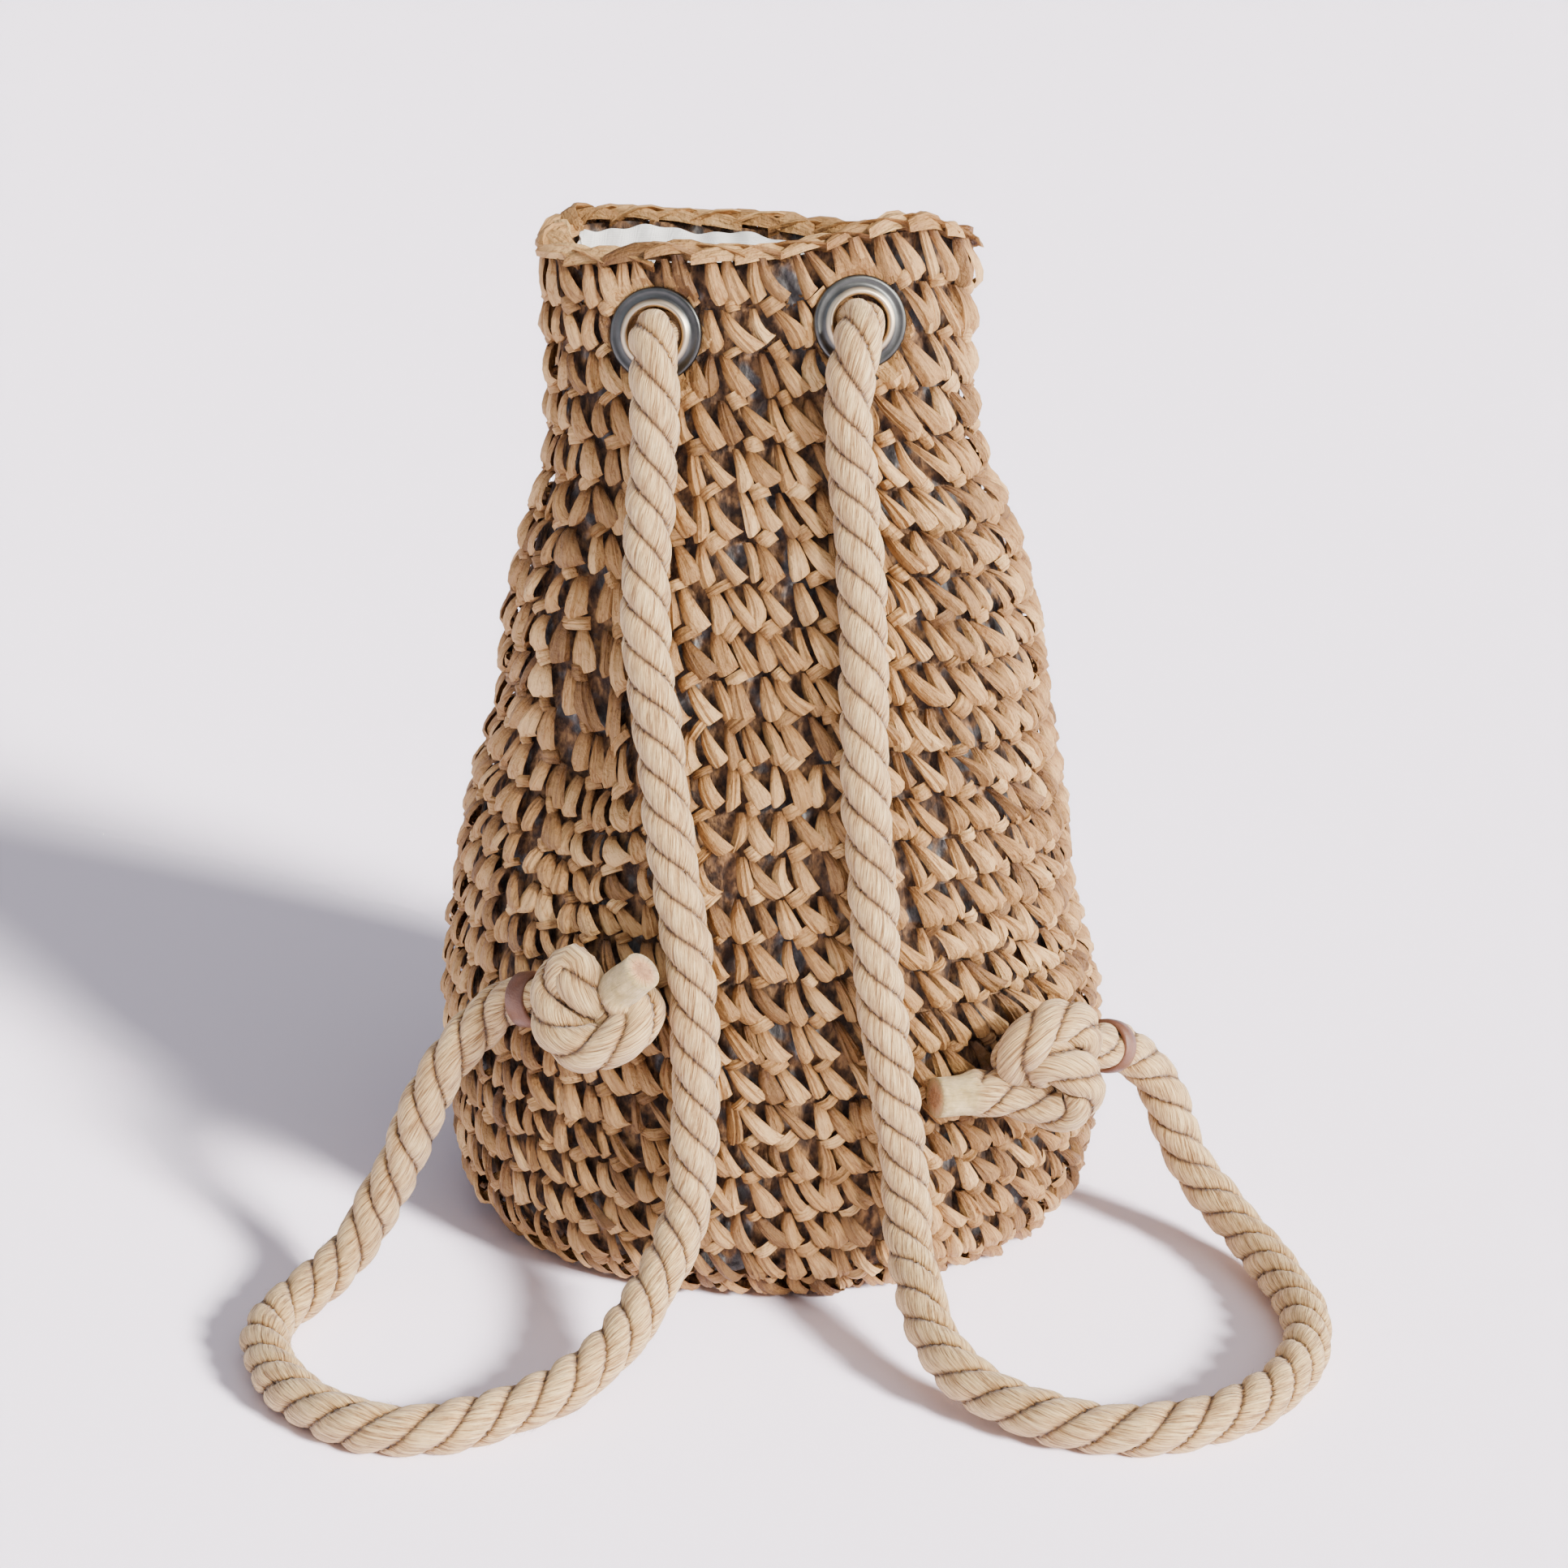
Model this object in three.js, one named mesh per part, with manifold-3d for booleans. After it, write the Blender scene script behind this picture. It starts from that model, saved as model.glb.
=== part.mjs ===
// Crocheted straw backpack with a pinched mouth, two eyelets and one thick rope as drawcord and straps.
// Millimetres, +Z up, front towards -Y, origin under the middle of the base.
import * as THREE from 'three';
import { mergeVertices } from 'three/addons/utils/BufferGeometryUtils.js';
import Module from 'manifold-3d';

const wasm = await Module();
wasm.setup();

// Straw wall
const wall_height = 329;
const belly_half_width = 110;
const belly_half_depth = 101;
const wall_thickness = 6.5;
const foot_radius = 24;
const round_count = 26;
const round_growth = 0.075;
const rib_depth = 2.6;
const crest_share = 0.36;
const fold_depth = 9;
const slouch_drop = 12;
const rim_rise = 8;
const body_segments = 42;
const rounds_per_inner_ring = 3;

// Rim braid
const braid_width = 9;
const braid_height = 6;
const braid_sides = 6;
const braid_pinch = 0.82;

// Lining
const lining_thickness = 1;
const lining_below_rim = 9;
const lining_gap = 0.7;
const lining_slack = 2.6;

// Eyelets
const eyelet_flange_diameter = 29.5;
const eyelet_hole_diameter = 17.2;
const eyelet_barrel_wall = 1.1;
const eyelet_flange_thickness = 1.6;
const eyelet_roll = 1.4;
const eyelet_seat_depth = 1.8;
const eyelet_back_diameter = 23;
const eyelet_back_play = 1;
const eyelet_sides = 18;

// Rope
const rope_diameter = 15.5;
const rope_sides = 8;
const rope_step = 20;
const rope_exit_slope = 38;
const knot_step = 8.8;
const knot_run = 5;
const knot_lap = 2.6;

// Leather loops
const leather_clearance = 0.5;
const leather_thickness = 1.8;
const leather_width = 7.5;
const leather_seat_depth = 3;
const leather_sides = 16;

// Clearance between touching pieces
const gap = 0.3;

// Wall sections from base to mouth: heights are shares of wall_height, the rest of the belly sizes
const sections = [
  { height: 0.073, width: 0.985, front: 1.000, back: 1.000, shift: 0.000, squareness: 2.0 },
  { height: 0.150, width: 1.000, front: 1.005, back: 1.000, shift: 0.000, squareness: 2.0 },
  { height: 0.245, width: 0.995, front: 0.995, back: 0.975, shift: -0.010, squareness: 2.0 },
  { height: 0.330, width: 0.945, front: 0.955, back: 0.930, shift: -0.030, squareness: 2.05 },
  { height: 0.435, width: 0.900, front: 0.895, back: 0.850, shift: -0.022, squareness: 2.1 },
  { height: 0.540, width: 0.822, front: 0.825, back: 0.740, shift: 0.000, squareness: 2.15 },
  { height: 0.640, width: 0.782, front: 0.735, back: 0.620, shift: -0.004, squareness: 2.2 },
  { height: 0.740, width: 0.708, front: 0.620, back: 0.480, shift: -0.012, squareness: 2.3 },
  { height: 0.800, width: 0.642, front: 0.535, back: 0.390, shift: -0.022, squareness: 2.45 },
  { height: 0.890, width: 0.622, front: 0.445, back: 0.270, shift: -0.036, squareness: 2.6 },
  { height: 1.000, width: 0.628, front: 0.385, back: 0.205, shift: -0.042, squareness: 2.7 },
];

// Creases that run up the wall: around and half_width are shares of the way round from the front
// middle, depth a share of fold_depth, low and high shares of wall_height
const folds = [
  { around: -0.118, half_width: 0.030, depth: 0.95, low: 0.36, high: 0.86 },
  { around: 0.082, half_width: 0.026, depth: 0.70, low: 0.38, high: 0.90 },
  { around: -0.020, half_width: 0.070, depth: 0.40, low: 0.45, high: 0.80 },
  { around: 0.265, half_width: 0.026, depth: 0.50, low: 0.66, high: 1.10 },
  { around: -0.275, half_width: 0.024, depth: 0.45, low: 0.62, high: 1.10 },
  { around: 0.430, half_width: 0.030, depth: 0.55, low: 0.45, high: 0.98 },
  { around: -0.400, half_width: 0.034, depth: 0.65, low: 0.40, high: 0.95 },
];

// Places where the rounds slouch down the wall: drop is a share of slouch_drop
const slouches = [
  { around: -0.105, half_width: 0.045, drop: 1.00, height: 0.53, half_height: 0.13 },
  { around: 0.060, half_width: 0.060, drop: -0.25, height: 0.60, half_height: 0.20 },
  { around: -0.330, half_width: 0.060, drop: 0.50, height: 0.50, half_height: 0.16 },
  { around: 0.360, half_width: 0.060, drop: 0.55, height: 0.56, half_height: 0.16 },
];

// Rise of the mouth's edge: a share of rim_rise at a share of the way round
const rim_line = [
  { around: -0.50, rise: 0.40 },
  { around: -0.35, rise: 0.75 },
  { around: -0.27, rise: 0.30 },
  { around: -0.20, rise: -0.25 },
  { around: -0.08, rise: 0.00 },
  { around: 0.02, rise: 0.10 },
  { around: 0.15, rise: 1.05 },
  { around: 0.24, rise: 0.10 },
  { around: 0.35, rise: -0.10 },
];

// Chosen route of each rope stretch
const rope_left_route = [
  [-36.6, -51, 298.5], [-36.2, -56, 284], [-37.4, -59.8, 262], [-39.2, -66.6, 238], [-38.9, -74.4, 214],
  [-35.4, -82.2, 190], [-32.6, -90.4, 166], [-29.2, -97.4, 142], [-25.2, -102.8, 118], [-24.1, -106.8, 92],
  [-24.5, -108.6, 66], [-26.2, -111, 46], [-30.6, -119, 33.5], [-37.5, -132.5, 25], [-44.7, -147, 18.3],
  [-54.2, -161, 14], [-63, -169.5, 11], [-84.4, -182.2, 8.2], [-98.2, -187.9, 7.9], [-112.4, -188.9, 7.9],
  [-125, -184.1, 7.9], [-137.2, -174.4, 7.9], [-147.8, -161.1, 7.9], [-154.6, -145.8, 7.9],
  [-158, -131, 8], [-155.8, -117, 9.1], [-150.7, -108, 10.1], [-144, -99.5, 13], [-137.6, -93.5, 17.5],
  [-132.6, -90, 23.5], [-128.6, -87.5, 30.7], [-119.5, -86.5, 47.4], [-112.5, -87, 64.7],
  [-104.1, -84.5, 80.4], [-97.2, -82, 88.2], [-89, -81, 96.5],
];
const rope_right_route = [
  [25.4, -51, 302], [23.2, -56, 287], [25, -60.2, 262], [27.1, -68.4, 238], [28, -76.7, 214],
  [28.3, -83.9, 190], [29.1, -90.6, 166], [31.1, -95.8, 142], [32.6, -100, 117], [36.1, -103.4, 91],
  [40.2, -104.6, 64], [42.1, -107, 45], [42.8, -117, 31.5], [45.6, -131.5, 24], [48.5, -146, 17.7],
  [55.8, -163, 13.6], [63.3, -171, 11.1], [75.4, -180.5, 9.6], [90.5, -187, 8.4], [107, -188.9, 7.9],
  [123, -185.5, 7.9], [138.5, -177.4, 7.9], [151.2, -165.1, 7.9], [161.2, -148.3, 7.9],
  [166.9, -130, 7.9], [167.7, -112, 7.9], [164.9, -95, 8.4], [161.3, -80, 9.6], [156.2, -67, 12.1],
  [150.4, -57, 16.6], [144.5, -50.5, 22.5], [139.3, -46.5, 29.5], [135, -43.5, 39.5],
  [131.5, -43, 50], [126.5, -43.5, 59.5], [120.5, -46.5, 66.5],
];

// Eyelets in the front wall: share of the way round and round counted from the base
const eyelets = {
  left: { around: -0.0941, round: 24.4 },
  right: { around: 0.0924, round: 24.34 },
};

// Loops on the lower wall: where they sit, how far the rope stands off the wall and how it slopes
const leather_loops = {
  left: { around: -0.1097, round: 8.94, standoff: 13.5, slope: 14 },
  right: { around: 0.1724, round: 6.67, standoff: 17, slope: 160 },
};

// Knots: middle on the wall, stand-off in rope diameters, and the rope's way through the knot in
// rope diameters as [along the wall to the right, up, away from the wall]
const knots = {
  left: {
    around: -0.0727, round: 9.1, standoff: 1.2,
    way: [
      [-0.62, 0.05, -0.42], [0.2, 0.02, -0.62], [0.86, 0.05, -0.3], [0.84, -0.33, 0.32],
      [0.12, -0.64, 0.56], [-0.54, -0.34, 0.5], [-0.8, 0.3, 0.22], [-0.44, 0.88, 0.1],
      [-0.16, 0.42, 0.22], [0.16, -0.12, -0.06], [0.46, 0.1, 0.0], [0.6, 0.5, 0.1],
      [0.96, 0.84, 0.22], [1.25, 1.08, 0.3],
    ],
  },
  right: {
    around: 0.1275, round: 7.02, standoff: 1.2,
    way: [
      [0.66, 0.36, -0.4], [0, 0.24, -0.62], [-0.72, 0.2, -0.3], [-0.74, 0.66, 0.1],
      [-0.1, 0.94, 0.2], [0.6, 0.72, 0.22], [0.74, 0.1, 0.02], [0.4, -0.34, -0.4],
      [-0.24, -0.16, -0.3], [-0.4, 0.26, 0.26], [0.02, 0.02, 0.56], [0.42, -0.46, 0.5],
      [0.2, -0.94, 0.2], [-0.3, -0.74, -0.2], [-0.87, -0.46, -0.5], [-1.5, -0.36, -0.74],
      [-2.1, -0.3, -0.93], [-2.44, -0.25, -1.03],
    ],
  },
};

// Chosen route of the rope inside the mouth, between the eyelets
const rope_middle_route = [
  [-32, -17, 299], [-21, -5, 296.5], [-5, 0, 295.5], [11, -5, 297], [23, -17, 300.5],
];

const rope_radius = rope_diameter / 2;
const outline_steps = 720;
const section_columns = 5;
const normal_span = 3;
const fold_fade = 0.3;
const rim_rise_start = 0.8;
const slack_end = 0.85;
const slack_fade = 0.05;
const foot_arc = foot_radius * Math.PI / 2;
const wall_run = foot_arc + wall_height - foot_radius;

const bell = (x) => Math.exp(-x * x);
const nearest_turn = (x) => x - Math.round(x);

function blend(low, high, x) {
  const share = Math.min(Math.max((x - low) / (high - low), 0), 1);
  return share * share * (3 - 2 * share);
}

const section_curve = new THREE.CubicInterpolant(
  sections.map((row) => row.height),
  sections.flatMap((row) => [row.width, row.front, row.back, row.shift, row.squareness]),
  section_columns,
);
const rim_curve = new THREE.CubicInterpolant(
  [...rim_line.map((row) => row.around), rim_line[0].around + 1],
  [...rim_line.map((row) => row.rise), rim_line[0].rise],
  1,
);

// One level section as points spaced by their share of the way round, from the front middle
const outlines = new Map();
function outline(z) {
  const key = z.toFixed(3);
  if (outlines.has(key)) return outlines.get(key);
  const share = Math.min(z / wall_height, 1);
  const [width, front, back, shift, squareness] = Array.from(section_curve.evaluate(share));
  const points = [];
  for (let i = 0; i <= outline_steps; i++) {
    const turn = (i / outline_steps - 0.5) * 2 * Math.PI;
    const s = Math.sin(turn);
    const c = Math.cos(turn);
    const depth = c > 0 ? front : back;
    points.push(new THREE.Vector2(
      belly_half_width * (shift + width * Math.sign(s) * Math.abs(s) ** (2 / squareness)),
      -belly_half_depth * depth * Math.sign(c) * Math.abs(c) ** (2 / squareness),
    ));
  }
  const lengths = [0];
  for (let i = 1; i <= outline_steps; i++) {
    lengths.push(lengths[i - 1] + points[i].distanceTo(points[i - 1]));
  }
  const found = { points, lengths };
  outlines.set(key, found);
  return found;
}

// Point and outward normal of the plain section at a share of the way round
function sectionPoint(around, z) {
  const { points, lengths } = outline(z);
  const wanted = (nearest_turn(around) + 0.5) * lengths[outline_steps];
  let low = 0;
  let high = outline_steps;
  while (high - low > 1) {
    const middle = (low + high) >> 1;
    if (lengths[middle] <= wanted) low = middle;
    else high = middle;
  }
  const share = (wanted - lengths[low]) / (lengths[high] - lengths[low]);
  const point = points[low].clone().lerp(points[high], share);
  const before = points[(low + outline_steps - normal_span) % outline_steps];
  const after = points[(high + normal_span) % outline_steps];
  const normal = new THREE.Vector2(after.y - before.y, before.x - after.x).normalize();
  return { point, normal };
}

function foldDepth(around, height) {
  const share = height / wall_height;
  return folds.reduce((sum, fold) => {
    const middle = (fold.low + fold.high) / 2;
    const half = (fold.high - fold.low) / 2;
    const reach = 1 - blend(fold_fade, 1, Math.abs(share - middle) / half);
    return sum + fold_depth * fold.depth * reach * bell(nearest_turn(around - fold.around) / fold.half_width);
  }, 0);
}

function slouch(around, height) {
  const share = height / wall_height;
  return slouches.reduce((sum, row) => sum + slouch_drop * row.drop
    * bell(nearest_turn(around - row.around) / row.half_width)
    * bell((share - row.height) / row.half_height), 0);
}

// A point of the wall: along is the run up the wall from the edge of the flat base
function wallPoint(around, along, inward) {
  const turn = Math.min(along, foot_arc) / foot_radius;
  const flat_height = foot_radius * (1 - Math.cos(turn)) + Math.max(along - foot_arc, 0);
  const near_rim = blend(rim_rise_start, 1, flat_height / wall_height);
  const rim = rim_rise * rim_curve.evaluate(nearest_turn(around))[0] * near_rim;
  const height = flat_height - slouch(around, flat_height) + rim;
  const level = Math.max(height, foot_radius);
  const { point, normal } = sectionPoint(around, level);
  const inset = foot_radius * (1 - Math.sin(turn)) + inward * Math.sin(turn) + foldDepth(around, level);
  return new THREE.Vector3(
    point.x - normal.x * inset,
    point.y - normal.y * inset,
    height + inward * Math.cos(turn),
  );
}

// Run up the wall at the start of a round
function roundRun(round) {
  const share = round / round_count;
  return wall_run * share * (1 + round_growth * (share - 1));
}

// Frame of axes that stands on the wall: right along the wall, up the wall, away from it
function wallFrame(around, along) {
  const small = 0.004;
  const step = 4;
  const right = wallPoint(around + small, along, 0).sub(wallPoint(around - small, along, 0)).normalize();
  const up = wallPoint(around, along + step, 0).sub(wallPoint(around, along - step, 0));
  const out = new THREE.Vector3().crossVectors(right, up).normalize();
  up.crossVectors(out, right);
  return { origin: wallPoint(around, along, 0), right, up, out };
}

function toSolid(geometry) {
  const bare = geometry.clone();
  bare.deleteAttribute('normal');
  bare.deleteAttribute('uv');
  const merged = mergeVertices(bare, 1e-4);
  const index = merged.index.array;
  const corners = [];
  for (let i = 0; i < index.length; i += 3) {
    const [a, b, c] = index.slice(i, i + 3);
    if (a !== b && b !== c && c !== a) corners.push(a, b, c);
  }
  return new wasm.Manifold(new wasm.Mesh({
    numProp: 3,
    vertProperties: Float32Array.from(merged.attributes.position.array),
    triVerts: Uint32Array.from(corners),
  }));
}

function toGeometry(solid) {
  const { vertProperties, triVerts } = solid.getMesh();
  const geometry = new THREE.BufferGeometry();
  geometry.setAttribute('position', new THREE.BufferAttribute(vertProperties, 3));
  geometry.setIndex(new THREE.BufferAttribute(triVerts, 1));
  geometry.computeVertexNormals();
  return geometry;
}

// Turns a profile round and sends each of its points to a place given by share of the way round
function turned(places, segments) {
  const geometry = new THREE.LatheGeometry(places.map((_, j) => new THREE.Vector2(1, j)), segments);
  const position = geometry.attributes.position;
  for (let i = 0; i < position.count; i++) {
    const around = Math.floor(i / places.length) % segments / segments;
    const place = places[i % places.length](around);
    position.setXYZ(i, place.x, place.y, place.z);
  }
  return toSolid(geometry);
}

function tube(points, step, radius = rope_radius) {
  const path = new THREE.CatmullRomCurve3(points, false, 'centripetal');
  const section = new THREE.Shape(Array.from({ length: rope_sides }, (_, i) => {
    const turn = i / rope_sides * 2 * Math.PI;
    return new THREE.Vector2(radius * Math.cos(turn), radius * Math.sin(turn));
  }));
  const steps = Math.max(Math.round(path.getLength() / step), 3);
  return toSolid(new THREE.ExtrudeGeometry(section, { steps, extrudePath: path, bevelEnabled: false }));
}

// A geometry built about the +Y axis, stood at a point with that axis along a direction
function stood(geometry, point, direction) {
  const turn = new THREE.Quaternion().setFromUnitVectors(new THREE.Vector3(0, 1, 0), direction);
  return geometry.clone().applyQuaternion(turn).translate(point.x, point.y, point.z);
}

function disc(radius, low, high, point, direction, sides = eyelet_sides) {
  const geometry = new THREE.CylinderGeometry(radius, radius, high - low, sides);
  return toSolid(stood(geometry.translate(0, (low + high) / 2, 0), point, direction));
}

// Straw wall and base, one hollow piece with a rib for each round
const inner_rings = Math.ceil(round_count / rounds_per_inner_ring);
const inner_runs = [
  ...Array.from({ length: inner_rings }, (_, i) => roundRun(rounds_per_inner_ring * i)),
  wall_run - lining_below_rim,
];

function strawBody() {
  const ribs = Array.from({ length: round_count }, (_, k) => [
    { along: roundRun(k), inward: k ? rib_depth : 0 },
    { along: roundRun(k + crest_share), inward: 0 },
  ]).flat();
  const edge = [
    { along: wall_run, inward: rib_depth / 3 },
    { along: wall_run, inward: wall_thickness },
  ];
  const inside = inner_runs.map((along) => ({ along, inward: wall_thickness })).reverse();
  const rings = [...ribs, ...edge, ...inside];
  return turned([
    () => new THREE.Vector3(0, 0, 0),
    ...rings.map(({ along, inward }) => (around) => wallPoint(around, along, inward)),
    () => new THREE.Vector3(0, 0, wall_thickness),
  ], body_segments);
}

// Cloth lining, a thin bag that hangs a little slack inside the wall and is held near the mouth
function liningBag() {
  const layer = (cloth_inward) => (along) => {
    const slack = lining_slack * (1 - blend(slack_end, slack_end + slack_fade, along / wall_run));
    return (around) => wallPoint(around, along, wall_thickness + lining_gap + cloth_inward + slack);
  };
  const floor = wall_thickness + lining_gap + lining_slack;
  return turned([
    () => new THREE.Vector3(0, 0, floor),
    ...inner_runs.map(layer(0)),
    ...inner_runs.map(layer(lining_thickness)).reverse(),
    () => new THREE.Vector3(0, 0, floor + lining_thickness),
  ], body_segments);
}

// Chain edge that closes the mouth, thinner where two links meet
function rimBraid() {
  const corners = Array.from({ length: braid_sides + 1 }, (_, i) => (i % braid_sides + 0.5) / braid_sides);
  return turned(corners.map((corner) => (around) => {
    const turn = corner * 2 * Math.PI;
    const segment = Math.round((around - Math.floor(around)) * body_segments);
    const pinch = segment % 2 ? braid_pinch : 1;
    const inward = wall_thickness / 2 - Math.cos(turn) * braid_width / 2 * pinch;
    const place = wallPoint(around, wall_run, inward);
    place.z += gap + braid_height / 2 + Math.sin(turn) * braid_height / 2 * pinch;
    return place;
  }), body_segments);
}

const eyelet_hole_radius = eyelet_hole_diameter / 2;
const barrel_radius = eyelet_hole_radius + eyelet_barrel_wall;
const flange_radius = eyelet_flange_diameter / 2;
const flange_seat = gap - eyelet_seat_depth;
const flange_front = flange_seat + eyelet_flange_thickness + eyelet_roll;
const eyelet_back = -(wall_thickness + lining_gap + lining_thickness + eyelet_back_play + gap);

function eyeletFrame(side) {
  return wallFrame(eyelets[side].around, roundRun(eyelets[side].round));
}

function eyelet(side) {
  const { origin, out } = eyeletFrame(side);
  const flange_top = flange_seat + eyelet_flange_thickness;
  const back_radius = eyelet_back_diameter / 2;
  const profile = [
    [barrel_radius, eyelet_back],
    [barrel_radius, flange_seat],
    [flange_radius - gap, flange_seat],
    [flange_radius, flange_seat + eyelet_flange_thickness / 3],
    [flange_radius - eyelet_flange_thickness / 2, flange_top],
    [barrel_radius + eyelet_roll, flange_top],
    [barrel_radius + eyelet_roll / 2, flange_front],
    [eyelet_hole_radius + eyelet_barrel_wall / 3, flange_front],
    [eyelet_hole_radius, flange_top],
    [eyelet_hole_radius, eyelet_back - eyelet_barrel_wall],
    [back_radius, eyelet_back - eyelet_barrel_wall],
    [back_radius, eyelet_back],
    [barrel_radius, eyelet_back],
  ].map(([r, h]) => new THREE.Vector2(r, h));
  return toSolid(stood(new THREE.LatheGeometry(profile, eyelet_sides), origin, out));
}

// Holes and pressed seats for the eyelets, cut in the wall and in the lining
function withEyeletHoles(solid) {
  return Object.keys(eyelets).reduce((wall, side) => {
    const { origin, out } = eyeletFrame(side);
    const hole = disc(barrel_radius + gap, 2 * eyelet_back, flange_radius, origin, out);
    const seat = disc(flange_radius + gap, -eyelet_seat_depth, flange_radius, origin, out);
    return wall.subtract(hole).subtract(seat);
  }, solid);
}

function loopFrame(side) {
  const { around, round, standoff, slope } = leather_loops[side];
  const frame = wallFrame(around, roundRun(round + crest_share));
  const turn = THREE.MathUtils.degToRad(slope);
  const axis = frame.right.clone().multiplyScalar(Math.cos(turn)).addScaledVector(frame.up, Math.sin(turn));
  return { ...frame, axis, centre: frame.origin.clone().addScaledVector(frame.out, standoff) };
}

// The sewn ends of a leather loop, from the ring into the wall
function leatherEnds(side, play) {
  const { centre, axis, out } = loopFrame(side);
  const start = rope_radius + leather_clearance + leather_thickness / 2;
  const reach = leather_loops[side].standoff + leather_seat_depth + play - start;
  const ends = new THREE.BoxGeometry(2 * (leather_thickness + play), leather_width + 2 * play, reach);
  ends.applyMatrix4(new THREE.Matrix4().makeBasis(new THREE.Vector3().crossVectors(axis, out), axis, out));
  const middle = centre.clone().addScaledVector(out, -(start + reach / 2));
  return toSolid(ends.translate(middle.x, middle.y, middle.z));
}

// A ring of leather round the rope, held by its ends
function leatherLoop(side) {
  const { centre, axis } = loopFrame(side);
  const inner_radius = rope_radius + leather_clearance;
  const outer_radius = inner_radius + leather_thickness;
  const ring = new THREE.LatheGeometry([
    [inner_radius, -leather_width / 2],
    [outer_radius, -leather_width / 2],
    [outer_radius, leather_width / 2],
    [inner_radius, leather_width / 2],
    [inner_radius, -leather_width / 2],
  ].map(([r, h]) => new THREE.Vector2(r, h)), leather_sides);
  return toSolid(stood(ring, centre, axis)).add(leatherEnds(side, 0));
}

// The rope leaves each eyelet sloping down, and its end there is cut level with the flange
const exit_slope = THREE.MathUtils.degToRad(rope_exit_slope);
const rope_join = leather_width / 2 + gap;

function strapRope(side, route) {
  const { origin, up, out } = eyeletFrame(side);
  const { centre, axis } = loopFrame(side);
  const exit = out.clone().multiplyScalar(Math.cos(exit_slope)).addScaledVector(up, -Math.sin(exit_slope));
  const mouth = origin.clone().addScaledVector(out, flange_front);
  const points = [
    mouth.clone().addScaledVector(exit, -rope_radius),
    mouth,
    ...route.map((place) => new THREE.Vector3(...place)),
    centre.clone().addScaledVector(axis, -leather_width),
  ];
  const cutter = disc(rope_diameter, -rope_diameter, flange_front + gap, origin, out);
  const held = disc(rope_radius, -leather_width - gap, rope_join, centre, axis, rope_sides);
  return tube(points, rope_step).subtract(cutter).add(held);
}

function middleRope() {
  const ends = ['left', 'right'].map((side) => {
    const { origin, out } = eyeletFrame(side);
    return [flange_front, (flange_front + eyelet_back) / 2, eyelet_back - rope_radius / 2]
      .map((height) => origin.clone().addScaledVector(out, height));
  });
  const route = rope_middle_route.map((place) => new THREE.Vector3(...place));
  return tube([...ends[0], ...route, ...ends[1].reverse()], rope_radius);
}

// An overhand knot: short lengths of tube along the rope's way, joined where they touch
function knot(side) {
  const { around, round, standoff, way } = knots[side];
  const { centre, axis } = loopFrame(side);
  const frame = wallFrame(around, roundRun(round + crest_share));
  const middle = frame.origin.clone().addScaledVector(frame.out, standoff * rope_diameter);
  const face = rope_join + gap;
  const path = new THREE.CatmullRomCurve3([
    centre.clone().addScaledVector(axis, face + rope_radius / 2),
    ...way.map(([right, up, away]) => middle.clone()
      .addScaledVector(frame.right, right * rope_diameter)
      .addScaledVector(frame.up, up * rope_diameter)
      .addScaledVector(frame.out, away * rope_diameter)),
  ], false, 'centripetal');
  const points = path.getSpacedPoints(Math.round(path.getLength() / knot_step));
  const lengths = [disc(rope_radius, face, face + rope_radius, centre, axis, rope_sides)];
  for (let first = 0; first < points.length - 1; first += knot_run) {
    const run = points.slice(first, first + knot_run + 1);
    const last = run[run.length - 1];
    const onward = last.clone().sub(run[run.length - 2]).setLength(knot_lap);
    lengths.push(tube([...run, last.clone().add(onward)], knot_step));
  }
  return lengths.reduce((whole, piece) => whole.add(piece));
}

const straw = new THREE.MeshStandardMaterial({ color: 0xc4a076, roughness: 0.75, metalness: 0 });
const cloth = new THREE.MeshStandardMaterial({ color: 0xe9e6df, roughness: 0.9, metalness: 0 });
const steel = new THREE.MeshStandardMaterial({ color: 0x8f9498, roughness: 0.25, metalness: 1 });
const cotton = new THREE.MeshStandardMaterial({ color: 0xd7c6a5, roughness: 0.9, metalness: 0 });
const leather = new THREE.MeshStandardMaterial({ color: 0x9a6b56, roughness: 0.5, metalness: 0 });

const group = new THREE.Group();

function add(name, solid, material) {
  const mesh = new THREE.Mesh(toGeometry(solid), material);
  mesh.name = name;
  group.add(mesh);
}

const slots = Object.keys(leather_loops).map((side) => leatherEnds(side, gap));
const slotted_wall = slots.reduce((wall, slot) => wall.subtract(slot), strawBody());
add('straw_body', withEyeletHoles(slotted_wall), straw);
add('rim_braid', rimBraid(), straw);
add('lining', withEyeletHoles(liningBag()), cloth);
for (const [side, route] of [['left', rope_left_route], ['right', rope_right_route]]) {
  add(`eyelet_${side}`, eyelet(side), steel);
  add(`strap_rope_${side}`, strapRope(side, route), cotton);
  add(`leather_loop_${side}`, leatherLoop(side), leather);
  add(`knot_${side}`, knot(side), cotton);
}
add('strap_rope_middle', middleRope(), cotton);

export default group;
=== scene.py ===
import math

import bmesh
import bpy
import numpy as np
from mathutils import Matrix, Vector


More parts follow.
